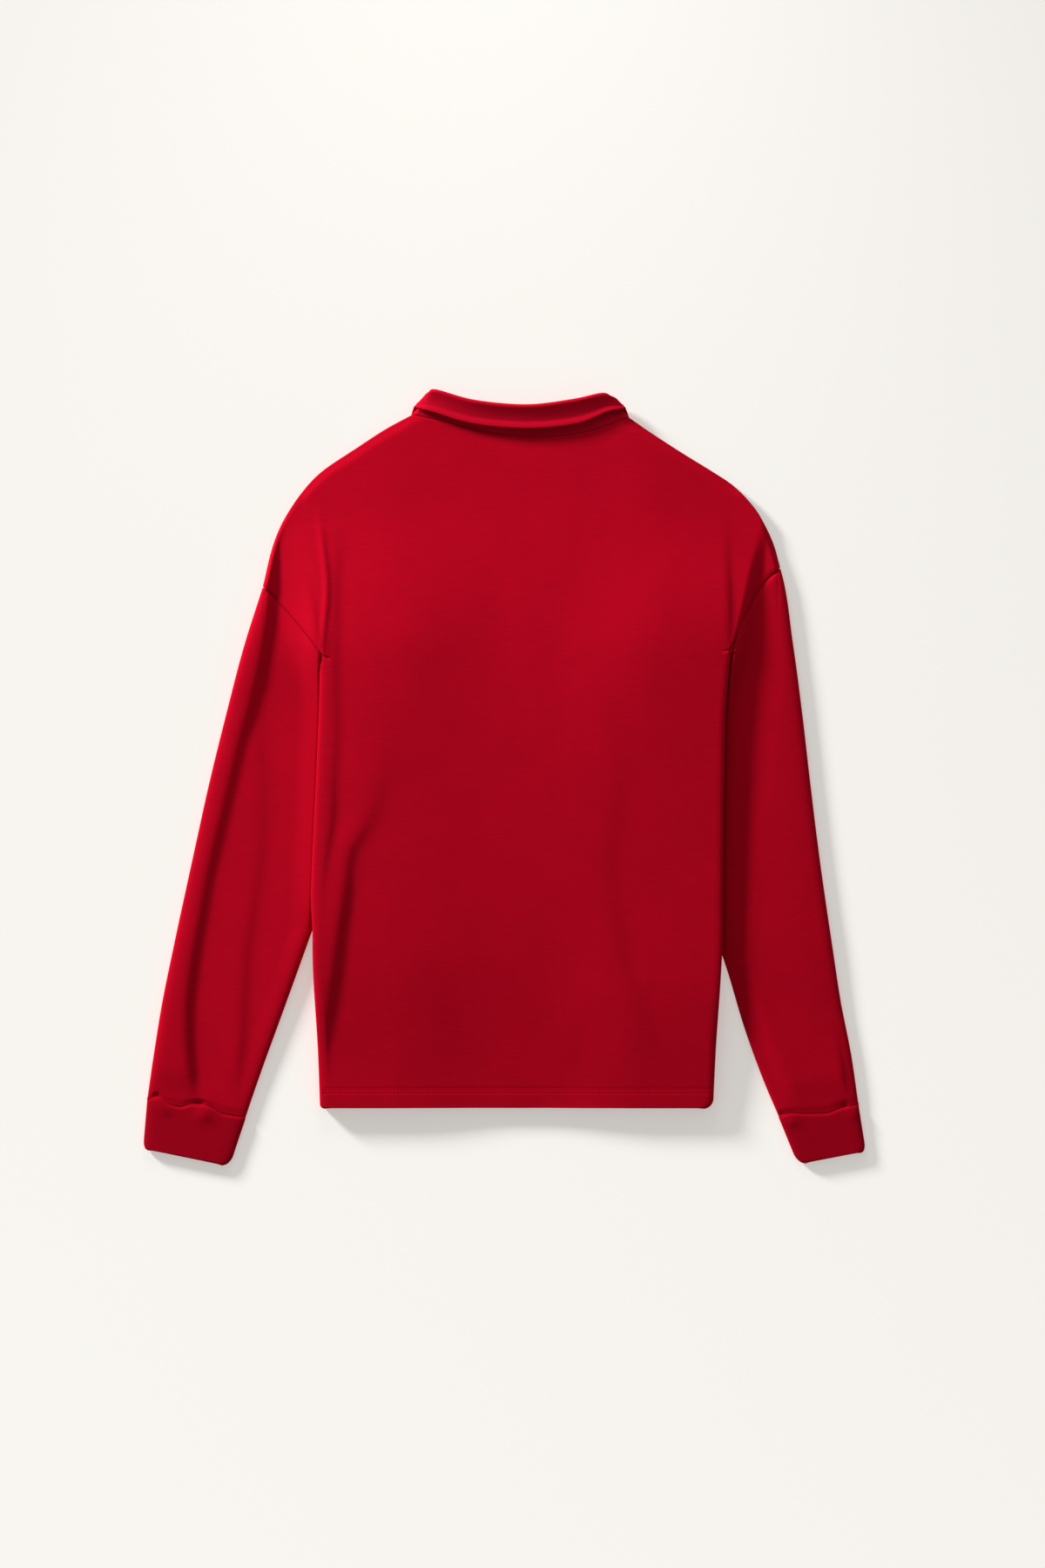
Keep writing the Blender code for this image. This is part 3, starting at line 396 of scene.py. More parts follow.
UNDER_FOLDS = {   # creases of the sleeves' lower cloth
    "left": [
        (40, -318.0, 0.0, 5.0, 14, 20), (90, -312.0, 1.3, 5.0, 14, 20), (170, -294.0, 1.6, 6.0, 16, 20),
        (250, -272.0, 1.0, 7.0, 16, 20), (330, -258.0, 0.0, 7.0, 16, 20),
    ],
    "right": [
        (30, 292.0, 0.0, 5.0, 14, 20), (80, 285.0, 1.2, 5.0, 14, 20), (150, 268.0, 1.5, 6.0, 16, 20),
        (230, 252.0, 0.8, 7.0, 16, 20), (300, 244.0, 0.0, 7.0, 16, 20),
    ],
}
SLEEVE_FOLDS = {   # the same rows for the cloth of the sleeves and dropped shoulders
    "left": {
        "outer valley": [
            (606, -221.0, 0.0, 3.0, 200, 90), (583, -233.5, 2.6, 3.0, 200, 90),
            (569, -239.0, 4.6, 3.2, 200, 90),
            (543, -243.5, 5.8, 3.4, 200, 90), (515, -245.5, 6.2, 3.8, 200, 90),
            (492, -246.6, 6.0, 4.4, 200, 90),
            (449, -252.4, 5.2, 5.0, 200, 110), (406, -261.9, 4.8, 5.4, 200, 130),
            (363, -274.8, 4.4, 5.6, 200, 150),
            (320, -285.1, 4.2, 5.6, 200, 150), (277, -295.4, 4.2, 5.6, 200, 150),
            (234, -305.7, 4.2, 5.6, 200, 150),
            (191, -313.5, 4.3, 5.6, 200, 140), (148, -321.2, 4.5, 5.4, 200, 120),
            (105, -326.4, 4.7, 5.2, 200, 100),
            (62, -326.4, 4.7, 5.0, 200, 80), (19, -322.1, 4.2, 4.6, 200, 60),
            (4, -319.5, 3.4, 4.0, 200, 50),
        ],
        "inner valley": [
            (400, -258.0, 0.0, 9.0, 30, 40), (363, -256.7, 1.5, 9.0, 30, 40),
            (320, -254.0, 1.6, 9.0, 30, 40),
            (277, -254.0, 1.5, 8.0, 26, 40), (234, -257.6, 1.3, 7.0, 24, 36),
            (191, -264.5, 1.9, 7.0, 24, 30),
            (148, -269.6, 2.3, 7.0, 24, 26), (105, -272.2, 2.8, 7.0, 24, 22),
            (62, -273.9, 2.8, 7.0, 24, 20),
            (19, -278.2, 1.8, 7.0, 24, 20), (0, -279.0, 0.8, 7.0, 24, 20),
        ],
    },
    "right": {
        "cuff crease": [
            (95, 309.0, 0.0, 4.5, 24, 8), (79, 311.8, 0.5, 4.5, 24, 8), (51, 317.5, 1.8, 4.2, 22, 7),
            (19, 323.0, 3.2, 4.0, 20, 6), (3, 325.5, 3.2, 4.0, 20, 6),
        ],
        "soft outer drop": [
            (420, 262.0, 0.0, 12.0, 40, 30), (320, 268.0, 0.7, 12.0, 40, 30),
            (191, 286.0, 0.9, 12.0, 40, 30),
            (105, 296.0, 0.9, 12.0, 40, 30), (30, 306.0, 0.5, 12.0, 40, 30),
            (5, 308.0, 0.0, 12.0, 40, 30),
        ],
    },
}
print("creases:", list(BACK_FOLDS), list(SLEEVE_FOLDS["left"]), list(SLEEVE_FOLDS["right"]))


def fold_height(x, y, rows, raised=0.6):
    """A drop along a path: part of its depth stands on the left, the rest lies on the right.

    The drop itself is a hyperbolic tangent of the distance in half widths, and each side
    settles back by an exponential of its own reach.
    """
    rows = sorted(rows)
    heights = column(rows, 0)
    middle, depth, half_width, left_reach, right_reach = (
        through(y, heights, column(rows, index)) for index in range(1, 6)
    )
    away = x - middle
    right = 0.5 * (1 + np.tanh(away / half_width))
    on_left = (1 - right) * np.exp(np.minimum(away, 0) / left_reach)
    on_right = right * np.exp(-np.maximum(away, 0) / right_reach)
    inside = (y > heights[0]) & (y < heights[-1])
    return np.maximum(depth, 0) * inside * (raised * on_left - (1 - raised) * on_right)


# %% Where a point lies against the outline
def edge_x(y, side):
    """x of the body's folded edge, or of the crease above the underarm."""
    x = through(y, column(BODY_EDGE, 0), column(BODY_EDGE, 1 if side == "left" else 2))
    radius = HEM_CORNER[side]
    short = np.clip((radius - np.asarray(y, dtype=float)) / radius, 0, 1)
    inset = radius * (1 - np.sqrt(1 - short**2 * 0.98))
    return x + inset if side == "left" else x - inset


def inward(x, y, side):
    """Distance from the body's edge towards the middle, below zero outside it."""
    return x - edge_x(y, side) if side == "left" else edge_x(y, side) - x


def armhole_seam(x, side):
    """Height of the armhole's seam at x, and half of its gap measured along y."""
    table = ARMHOLE[side]
    y = through(x, column(table, 0), column(table, 1))
    ahead = through(x + 1.0, column(table, 0), column(table, 1))
    return y, ARMHOLE_GAP / 2 * np.hypot(1.0, ahead - y)


def outline_distance(x, y, side):
    """Distance inside the outer edge at the shoulder and the sleeve."""
    table = SLEEVE_OUTER[side]
    outer = through(y, column(table, 0), column(table, 1))
    return x - outer if side == "left" else outer - x


def outside(x, y, spread=(16.0, 16.0)):
    """1 out on the dropped shoulder, 0 inside the body's crease."""
    beyond = step(0, spread[0], -inward(x, y, "left"))
    beyond = np.maximum(beyond, step(0, spread[1], -inward(x, y, "right")))
    begins, full, thins, ends = DROPPED_SHOULDER
    return beyond * step(begins, full, y) * (1 - step(thins, ends, y))


OUTER_POINT = (-209.0, 320.0)
print("a point outside the left edge is", round(float(inward(*OUTER_POINT, "left")), 1), "mm inward")


# %% Height of the front
FRONT_SIDES_END = (435.0, 540.0)       # the folded sides' lift fades between these heights
BACK_SIDES_END = (435.0, 640.0)
COLLAR_WIDTH = (170.0, 113.0)          # the collar's lift begins and is full at these x
BACK_COLLAR_WIDTH = (260.0, 113.0)
COLLAR_START = (395.0, 450.0)          # and at these heights
BACK_COLLAR_START = (150.0, 480.0)
DROPPED_SHOULDER = (430.0, 452.0, 575.0, 640.0)    # heights where it begins, is full, thins, ends


def sleeve_begins(y, side, ease=0.0):
    """0 below the crossing, 1 from where the sleeve lies under the body."""
    return step(CROSSING[side] - 75 - 95 * ease, CROSSING[side] - 10, y)


def sleeve_along(y, side, ease=0.0):
    """1 where the sleeve lies under the body, 0 above the underarm and below the crossing."""
    return sleeve_begins(y, side, ease) * (1 - step(447, 520 + 80 * ease, y))


def sleeve_lift(x, y, side):
    """Height of the space under the body's edge that the sleeve fills."""
    return SLEEVE_LIFT * sleeve_along(y, side) * step(126, 80, inward(x, y, side))


def sides_share(x, y, side, ease=0.0):
    """1 over the strip that is folded under, 0 in the middle of the body."""
    return step(TURN_UNDER + 28 + 75 * ease, TURN_UNDER - 2, inward(x, y, side))


def base_height(x, y):
    """All that lies under the front, and nothing out on the dropped shoulder."""
    lift = sleeve_lift(x, y, "left") + sleeve_lift(x, y, "right")
    sides = sides_share(x, y, "left") + sides_share(x, y, "right")
    lift = lift + (LAYER + FOLD_OPENING) * sides * (1 - step(*FRONT_SIDES_END, y))
    lift = lift + COLLAR_LIFT * step(*COLLAR_WIDTH, abs(x)) * step(*COLLAR_START, y)
    return lift * (1 - outside(x, y))


MIDDLE_FILL = 0.92         # share of the edges' height that the back keeps over the middle
DOME_START, DOME_LENGTH = 150.0, 490.0   # the middle tips down from here to the yoke
SHOULDER_SPREAD = (52.0, 16.0)      # width of the slope down to the left and right dropped shoulder


def eased_height(x, y):
    """What holds the back up: the same lifts with wide slopes, and a nearly level middle."""
    left, right = sides_share(x, y, "left", 1.0), sides_share(x, y, "right", 1.0)
    dome = 1 - step(0, 1, np.clip((y - DOME_START) / DOME_LENGTH, 0, 1) ** 2)
    middle = MIDDLE_FILL * (1 - left - right) * (0.4 + 0.6 * step(-20, 220, y)) * dome
    sides = (LAYER + FOLD_OPENING) * ((left + right) * (1 - step(*BACK_SIDES_END, y)) + middle)
    along_left, along_right = sleeve_along(y, "left", 1.0), sleeve_along(y, "right", 1.0)
    on_left = step(120, -120, x)
    begins_left, begins_right = sleeve_begins(y, "left", 1.0), sleeve_begins(y, "right", 1.0)
    along_middle = begins_left * on_left + begins_right * (1 - on_left)
    sleeves = SLEEVE_LIFT * (along_left * left + along_right * right + along_middle * middle)
    collar = COLLAR_LIFT * step(*BACK_COLLAR_WIDTH, abs(x)) * step(*BACK_COLLAR_START, y)
    return (sides + sleeves + collar) * (1 - outside(x, y, SHOULDER_SPREAD))


def front_height(x, y):
    """Middle of the front: on the floor, over what lies under it, lifted along its creases."""
    creases = 0.0 * x
    for rows in FRONT_FOLDS.values():
        creases = creases + np.maximum(fold_height(x, y, rows, raised=1.0), 0)
    return FLOOR_LAYER + base_height(x, y) + creases


# %% Height of the back and of the sleeves' upper cloth
SLEEVE_INNER = {side: sorted((row[3], row[2]) for row in SLEEVE_LINES[side]) for side in SLEEVE_LINES}
LEFT_RISE = [
    (-10, 1.6), (60, 2.0), (140, 3.2), (200, 5.0), (260, 5.4), (440, 5.4), (480, 5.0),
    (545, 2.6), (600, 1.2),
]
LEFT_LOFT = [
    (-10, 2.0), (30, 2.8), (320, 2.8), (400, 3.4), (447, 6.0), (530, 6.4), (575, 4.0),
    (600, 2.0),
]
RIGHT_REACH = [(0, 0.5), (139, 0.5), (191, 0.62), (277, 0.8), (363, 1.0), (460, 1.0), (560, 0.6)]


def inner_gap(x, y, side):
    """Distance out from the body's edge, or from the sleeve's inner edge below the crossing."""
    table = SLEEVE_INNER[side]
    inner = through(y, column(table, 0), column(table, 1))
    free = inner - x if side == "left" else x - inner
    return np.where(y < CROSSING[side], free, -inward(x, y, side))


def sleeve_puff(x, y, side):
    """Upper cloth of the sleeve and dropped shoulder, over two flat layers."""
    gap = inner_gap(x, y, side)
    if side == "left":
        rise = through(y, column(LEFT_RISE, 0), column(LEFT_RISE, 1))
        loft = through(y, column(LEFT_LOFT, 0), column(LEFT_LOFT, 1))
        height = loft + rise * (0.25 * step(58, 0, gap) + 0.55 * step(24, -4, gap))
    else:
        reach = through(y, column(RIGHT_REACH, 0), column(RIGHT_REACH, 1))
        above = step(CROSSING[side] - 60, CROSSING[side] + 30, y)
        outer = 1.6 * above + 2.0 * (1 - above)
        height = 1.6 + 1.6 * above + outer * step(12 * reach, 56 * reach, gap)
    for rows in SLEEVE_FOLDS[side].values():
        height = height + fold_height(x, y, rows, raised=0.5)
    return np.maximum(height, 0.4)


def back_puff(x, y):
    """Air under the back, its creases, and the sleeve's own height out on the dropped shoulder."""
    height = LOFT + 0.8 + 0.0 * x
    for rows in BACK_FOLDS.values():
        height = height + fold_height(x, y, rows)
    ridge_x = through(y, column(EDGE_RIDGE, 0), column(EDGE_RIDGE, 1))
    ridge = through(y, column(EDGE_RIDGE, 0), column(EDGE_RIDGE, 2)) * (x < 0)
    for side in ("left", "right"):
        roll = step(0, 3.0 if side == "left" else 6.0, outline_distance(x, y, side))
        share = outside(x, y, SHOULDER_SPREAD) * (inward(x, y, side) < 60)
        puff = np.maximum(sleeve_puff(x, y, side) * roll, 0.0)
        height = height * (1 - share) + puff * share
    height = height + np.maximum(ridge, 0) * bump(x, ridge_x, EDGE_RIDGE_WIDTH)
    height = height + HEM_DOUBLE * step(HEM_DEPTH + 3, HEM_DEPTH - 2, y)
    for stitch_y in HEM_STITCHES:
        height = height - STITCH_GROOVE * bump(y, stitch_y, 1.5)
    return np.maximum(height, 0.0)


NECK_SIDE = 106.0          # the side of the neck, from the middle
SHOULDER_ROLL = 12.0
FAR_INSIDE = 99.0


def shoulder_roll(x, y):
    """0 at the shoulder's outline, 1 from 12 mm inside it."""
    nearest = FAR_INSIDE + 0.0 * x
    for side, first in (("left", 3), ("right", 4)):
        table = sorted((px, py) for _, px, py in SHOULDER[side][first:])
        below = through(x, column(table, 0), column(table, 1)) - y
        reach = x < -NECK_SIDE if side == "left" else x > NECK_SIDE
        nearest = np.where(reach, np.minimum(nearest, below), nearest)
    return step(-1, SHOULDER_ROLL, nearest)


def seam_dip_at(x, y):
    """Groove where the armhole's seam pulls both edges down, 1 mm deep."""
    dip = 0.0 * x
    for side in ("left", "right"):
        seam_y, half_gap = armhole_seam(x, side)
        away = (y - seam_y) * ARMHOLE_GAP / 2 / half_gap
        near = inward(x, y, side) < -1.0
        dip = dip + SEAM_GROOVE * bump(away, 0.0, 2.2) * near
    return dip


HOLD_SHARPNESS = 4.0       # how closely the smooth maximum keeps to the higher of two heights


def back_height(x, y):
    """Middle of the back: what lies under it with eased slopes, a layer, air and creases."""
    roll = 1 - step(480, 560, y) * (1 - shoulder_roll(x, y))
    dip = seam_dip_at(x, y)
    eased, base = eased_height(x, y), base_height(x, y)
    held = np.logaddexp(HOLD_SHARPNESS * eased, HOLD_SHARPNESS * base) / HOLD_SHARPNESS
    return FLOOR_LAYER + held + LAYER + (back_puff(x, y) - dip) * roll


print("back over front at the centre:", round(float(back_height(0.0, 300.0)), 2), "mm high")

# %% [markdown]
# ## The body's grid
# Back and front share one grid, so their points lie over each other and never cross. The middle
# part is blended from four edges, which is a Coons patch. Beside it each side rolls under in a
# flattened half round and runs back as a strip, up to the underarm.


# %% Plan of a body panel
def panel_side(v, side):
    """Side edge of a panel: the folded edge, then the armhole's seam."""
    share = UNDERARM_ROW / ROWS
    sign = 1 if side == "left" else -1
    near_end, far_end = SEAM_ENDS[side]
    underarm, first_gap = armhole_seam(near_end, side)
    y = (underarm + first_gap) * np.clip(v / share, 0, 1)
    up = np.clip((v - share) / (1 - share), 0, 1)
    seam_x = near_end + (far_end - near_end) * up
    seam_y, gap_y = armhole_seam(seam_x, side)
    seam_y = seam_y + gap_y + CORNER_EASE * up**6
    on_seam = v > share
    return np.where(on_seam, seam_x, edge_x(y, side) + sign * EDGE_ROLL), np.where(on_seam, seam_y, y)


def neck_edge(table, share, axis):
    """A panel's neck edge as a smooth curve."""
    return through(share, column(table, 0), column(table, axis))


def shoulder_edge(side, share, axis):
    """The shoulder's outline, which starts where the armhole's seam ends."""
    values = column(SHOULDER[side], axis)
    values[0] = float(panel_side(np.ones(1), side)[axis - 1][0])
    return through(share, column(SHOULDER[side], 0), values)


def neck_or_shoulder(u, neck):
    """Top edge of a panel: shoulder, neckline, shoulder."""
    side = NECK_COLUMN / MAIN_COLUMNS
    left, right = np.clip(u / side, 0, 1), np.clip((1 - u) / side, 0, 1)
    middle = np.clip((u - side) / (1 - 2 * side), 0, 1)
    point = []
    for axis in (1, 2):
        a = shoulder_edge("left", left, axis)
        b = neck_edge(neck, middle, axis)
        c = shoulder_edge("right", right, axis)
        point.append(np.where(u <= side, a, np.where(u >= 1 - side, c, b)))
    return point


def panel_plan(u, v, neck):
    """Coons patch: the hem-to-top blend, plus each side's bow, fading towards the other side."""
    left, right = panel_side(v, "left"), panel_side(v, "right")
    top = neck_or_shoulder(u, neck)
    spread = u - 0.08 * np.sin(2 * math.pi * u)
    foot = panel_side(np.zeros(1), "left"), panel_side(np.zeros(1), "right")
    head = panel_side(np.ones(1), "left"), panel_side(np.ones(1), "right")
    place = []
    for axis in (0, 1):
        hem = foot[0][axis] * (1 - spread) + foot[1][axis] * spread
        straight_left = foot[0][axis] * (1 - v) + head[0][axis] * v
        straight_right = foot[1][axis] * (1 - v) + head[1][axis] * v
        point = (1 - v) * hem + v * top[axis]
        point = point + (1 - u) ** 2 * (left[axis] - straight_left)
        point = point + u**2 * (right[axis] - straight_right)
        place.append(point)
    return place


# %% The panel in space, with its sides folded under
def body_panel(column_at, row_at, neck, is_front):
    """Main part at its height; beyond it a half round in z over x, then a level strip."""
    side_columns = FOLD_COLUMNS + STRIP_COLUMNS
    v = row_at / ROWS
    u = np.clip((column_at - side_columns) / MAIN_COLUMNS, 0, 1)
    x, y = panel_plan(u, v, neck)
    z = front_height(x, y) if is_front else back_height(x, y)
    flat_x = x
    beyond = np.maximum(side_columns - column_at, column_at - side_columns - MAIN_COLUMNS)
    for side, sign in (("left", 1), ("right", -1)):
        here = (beyond > 0) & ((column_at < side_columns) == (side == "left"))
        angle = math.pi * np.clip(beyond / FOLD_COLUMNS, 0, 1)
        strip = np.clip((beyond - FOLD_COLUMNS) / STRIP_COLUMNS, 0, 1)
        lowest = FLOOR_LAYER + sleeve_lift(edge_x(y, side) + sign * EDGE_ROLL, y, side)
        lower = lowest + (LAYER if is_front else 0.0)
        over_sleeve = EDGE_BULGE[side] * step(CROSSING[side] - 6, CROSSING[side] + 40, y)
        width = EDGE_ROLL - FLOOR_LAYER - (LAYER + 0.5 if is_front else 0.0) + over_sleeve
        reach = EDGE_ROLL - width * np.sin(angle) + (TURN_UNDER - EDGE_ROLL) * strip
        level = np.sign(np.cos(angle)) * np.abs(np.cos(angle)) ** FOLD_SQUARENESS
        fold_z = (z + lower) / 2 + (z - lower) / 2 * level
        fold_x = edge_x(y, side) + sign * reach
        strip_z = FLOOR_LAYER + sleeve_lift(fold_x, y, side) + (LAYER if is_front else 0.0)
        tucked = step(UNDERARM_ROW - 0.3, UNDERARM_ROW, row_at) * here * (strip == 0)
        z = np.where(here, np.where(strip > 0, strip_z, fold_z), z) - UNDERARM_DROP * tucked
        x = np.where(here, fold_x, x)
        edge_y, edge_gap = armhole_seam(x, side)
        y = y + (UNDERARM_LAP + np.clip(edge_y + edge_gap - y, 0, 4) * (angle < 1.8)) * tucked
        unrolled = EDGE_ROLL * 2 * angle / math.pi + (TURN_UNDER - EDGE_ROLL) * strip
        flat_x = np.where(here, flat_x - sign * unrolled, flat_x)
    return np.column_stack([x, y, z]), np.column_stack([flat_x, y])


def body_cloth(name, neck, is_front, columns, rows):
    """A panel's mesh: strips and folds end at the underarm."""
    side_columns = FOLD_COLUMNS + STRIP_COLUMNS
    i, j = (part.ravel() for part in np.meshgrid(columns, rows))
    points, cloth_uv = body_panel(i, j, neck, is_front)

    def keep(quads):
        """The faces of the main part, and of the sides below the underarm."""
        middle_i, middle_j = i[quads].mean(axis=1), j[quads].mean(axis=1)
        on_main = (middle_i > side_columns) & (middle_i < side_columns + MAIN_COLUMNS)
        return on_main | (middle_j < UNDERARM_ROW)

    return grid_mesh(name, points, len(columns), cloth_uv, keep=keep)


# %% Make the back and the front
body_columns = spaced([
    (0, 3, 8), (3, 7, 20), (7, 11, 40), (11, 27, 64), (27, 31, 40), (31, 35, 20), (35, 38, 8),
])
body_rows = spaced([(0, 1, 38), (1, 17, 106), (17, 24, 72)])
back_mesh = body_cloth("back_cloth", NECK_BACK, False, body_columns, body_rows)
back_cloth = cloth_object("back_cloth", back_mesh, CLOTH, jersey)
front_mesh = body_cloth("front_cloth", NECK_FRONT, True, body_columns, body_rows)
front_cloth = cloth_object("front_cloth", front_mesh, CLOTH, jersey)

# %% [markdown]
# ## Sleeves and cuffs
# A sleeve lies as a flattened tube: lines run across it from its outer to its inner edge, and
# each line is doubled into an upper and a lower layer. It goes under the body's lifted edge.
# The cuff is a band of doubled jersey, and where it is sewn on, the wider sleeve is pinched
# into it, so the seam wanders and puffs up between the pinches.

# %% The wandering cuff seam
CUFF_SEAM_WAVE = {   # share of the way across from the outer edge, shift up the sleeve
    "left": [
        (0.0, -0.3), (0.087, 4.7), (0.193, -0.2), (0.282, -1.6), (0.354, -1.2), (0.431, 2.6),
        (0.532, 4.3), (0.665, 3.5), (0.754, -0.5), (0.876, -1.0), (1.0, -0.7),
    ],
    "right": [
        (0.0, -0.4), (0.149, -0.5), (0.235, -1.3), (0.327, -3.4), (0.6, -2.4), (0.892, 0.8), (1.0, 0.0),
    ],
}
TUCK, TUCK_DROP = 2.4, 1.5  # how far the cuff's edge goes up into the sleeve, and under its cloth
SEAM_PINCHES = {"left": [(0.087, 0.03), (0.53, 0.05)], "right": [(0.16, 0.04), (0.97, 0.04)]}
SEAM_PUFFS = {
    "left": [(0.16, 7.0, 0.9), (0.60, 9.0, 1.3)],
    "right": [(0.88, 8.0, 1.0), (0.05, 9.0, 0.7)],
}


def seam_shift(across, side):
    """How far the cuff's seam wanders, in mm up the sleeve."""
    return through(across, column(CUFF_SEAM_WAVE[side], 0), column(CUFF_SEAM_WAVE[side], 1))


def seam_dip(across, side):
    """Depth of the groove at the seam: shallow all along, deep at each pinch."""
    depth = 0.9 + 0.0 * across
    for middle, half_width in SEAM_PINCHES[side]:
        depth = depth + 1.8 * bump(across, middle, half_width)
    return depth


print("the left cuff's seam wanders by", np.ptp([w[1] for w in CUFF_SEAM_WAVE["left"]]), "mm")


# %% A sleeve in space
SHOULDER_FALL = 70.0       # how far down the sleeve takes to lose the back's height at the seam


def flattened(across):
    """Height of a flattened tube over its width: 1 nearly all over, 0 at both edges."""
    return np.sqrt(np.clip(1 - np.abs(2 * across - 1) ** 12, 0, 1))


def tube_share(turn):
    """Way across and side (1 above, -1 below) of a point on a flattened tube."""
    return 0.5 - 0.5 * np.cos(2 * math.pi * turn), np.where(turn <= 0.5, 1.0, -1.0)


def sleeve_points(turn, along, side):
    """Lines from the outer to the inner edge, doubled: middle height plus or minus half the rise."""
    lines = SLEEVE_LINES[side]
    share = column(lines, 0)
    outer_y = through(along, share, column(lines, 1))
    inner_x = through(along, share, column(lines, 2))
    inner_y = through(along, share, column(lines, 3))
    outer_x = through(outer_y, column(SLEEVE_OUTER[side], 0), column(SLEEVE_OUTER[side], 1))
    outer_x = outer_x + (1 if side == "left" else -1) * FLOOR_LAYER
    across, upper = tube_share(turn)
    x = outer_x + (inner_x - outer_x) * across
    y = outer_y + (inner_y - outer_y) * across
    seam_y, gap_y = armhole_seam(x, side)
    first_y = lines[0][1] + (lines[0][3] - lines[0][1]) * across
    y = y + (seam_y - first_y) * (1 - along) ** 4
    y = y - gap_y * (along < 0.5) + SEAM_GAP / 2 * (along >= 0.5)
    free = FLOOR_LAYER + LAYER + sleeve_puff(x, y, side)
    free = free - SEAM_GROOVE * bump((seam_y - y) * ARMHOLE_GAP / 2 / gap_y, 0.0, 2.2) * (along < 0.5)
    below = np.maximum(seam_y - y, 0.0)
    meeting = back_height(x, seam_y + gap_y) - FLOOR_LAYER - LAYER - sleeve_puff(x, seam_y, side)
    meeting = (meeting + SEAM_GROOVE) * (inward(x, y, side) < 0)
    meeting = meeting * step(0, 14, outline_distance(x, seam_y, side))
    free = free + meeting * step(SHOULDER_FALL, 0.0, below)
    under = step(-3.4, -0.6, inward(x, y, side)) * (y > CROSSING[side] - 30)
    cap = SLEEVE_LIFT - FLOOR_LAYER - 1.0
    top = free + (np.minimum(free, cap) - free) * under
    band = FLOOR_LAYER + CUFF_HEIGHT
    top = top + (band - top) * step(0.93, 1.0, along)
    near_cuff = step(0.955, 1.0, along)
    y = y + seam_shift(across, side) * near_cuff**2
    top = top - seam_dip(across, side) * step(0.985, 1.0, along) * flattened(across)
    bottom = FLOOR_LAYER + np.maximum(fold_height(x, y, UNDER_FOLDS[side], raised=1.0), 0)
    z = (top + bottom) / 2 + upper * (top - bottom) / 2 * flattened(across)
    width = np.hypot(inner_x - outer_x, inner_y - outer_y)
    cloth_uv = np.column_stack([width * across * upper, along * 600.0])
    return np.column_stack([x, y, z]), cloth_uv


def cuff_points(turn, along, side):
    """A flattened tube between the cuff's four corners, its lower corners rounded."""
    seam_outer, seam_inner, end_outer, end_inner = np.array(CUFF_CORNERS[side])
    across, upper = tube_share(turn)
    sign = 1 if side == "left" else -1
    outer = [seam_outer[k] * (1 - along) + end_outer[k] * along for k in (0, 1)]
    inner = [seam_inner[k] * (1 - along) + end_inner[k] * along for k in (0, 1)]
    left_over = np.clip(along - 0.8, 0, 1) / 0.2
    corner = CUFF_CORNER_RADIUS * (1 - np.sqrt(np.clip(1 - left_over**2, 0, 1)))
    outer[0] = outer[0] + sign * (RIB / 2 + corner * 0.6)
    inner[0] = inner[0] - sign * corner
    x = outer[0] + (inner[0] - outer[0]) * across
    y = outer[1] + (inner[1] - outer[1]) * across - SEAM_GAP / 2 * (1 - along)
    tucked = 1 - step(0.0, 0.05, along)
    y = y + seam_shift(across, side) * (1 - step(0.0, 0.6, along)) + TUCK * tucked
    low = RIB / 2 + TUCK_DROP * tucked
    top = FLOOR_LAYER + CUFF_HEIGHT - 0.4 * along - TUCK_DROP * tucked
    top = top - seam_dip(across, side) * (1 - step(0.0, 0.07, along)) * flattened(across)
    for middle, distance, height in SEAM_PUFFS[side]:
        top = top + height * bump(across, middle, 0.09) * bump(along * 49.0, distance, 6.0)
    z = (top + low) / 2 + upper * (top - low) / 2 * flattened(across)
    width = math.dist(seam_outer, seam_inner)
    return np.column_stack([x, y, z]), np.column_stack([width * across * upper, along * 49.0 + 600.0])


# %% Make the sleeves and cuffs
def tube_cloth(name, around, along, place, wall, finish):
    """A tube of cloth from a function of its turn and its way along."""
    turn, way = (part.ravel() for part in np.meshgrid(np.arange(around) / around, along))
    points, cloth_uv = place(turn, way)
    return cloth_object(name, grid_mesh(name, points, around, cloth_uv, wraps=True), wall, finish)


sleeve_rows = spaced([(0.0, 0.9, 146), (0.9, 1.0, 38)])
cuff_rows = spaced([(0.0, 0.1, 8), (0.1, 1.0, 36)])
sleeve_cloth, cuff_cloth = {}, {}
for side in ("left", "right"):
    sleeve_cloth[side] = tube_cloth(
        "sleeve_cloth_" + side, 256, sleeve_rows,
        lambda turn, way, side=side: sleeve_points(turn, way, side), CLOTH, jersey,
    )
    cuff_cloth[side] = tube_cloth(
        "cuff_cloth_" + side, 200, cuff_rows,
        lambda turn, way, side=side: cuff_points(turn, way, side), RIB, cuff_jersey_painted_darker,
    )

# %% [markdown]
# ## The collar
# The collar is one folded ring: a stand that rises from the neck seam, a round roll at the top,
# and a leaf that falls back over the stand. At the back the leaf faces up and its edge turns up
# in a thick lip. It turns over at the sides of the neck, and its two front leaves lie under the
# front panel, against the floor.

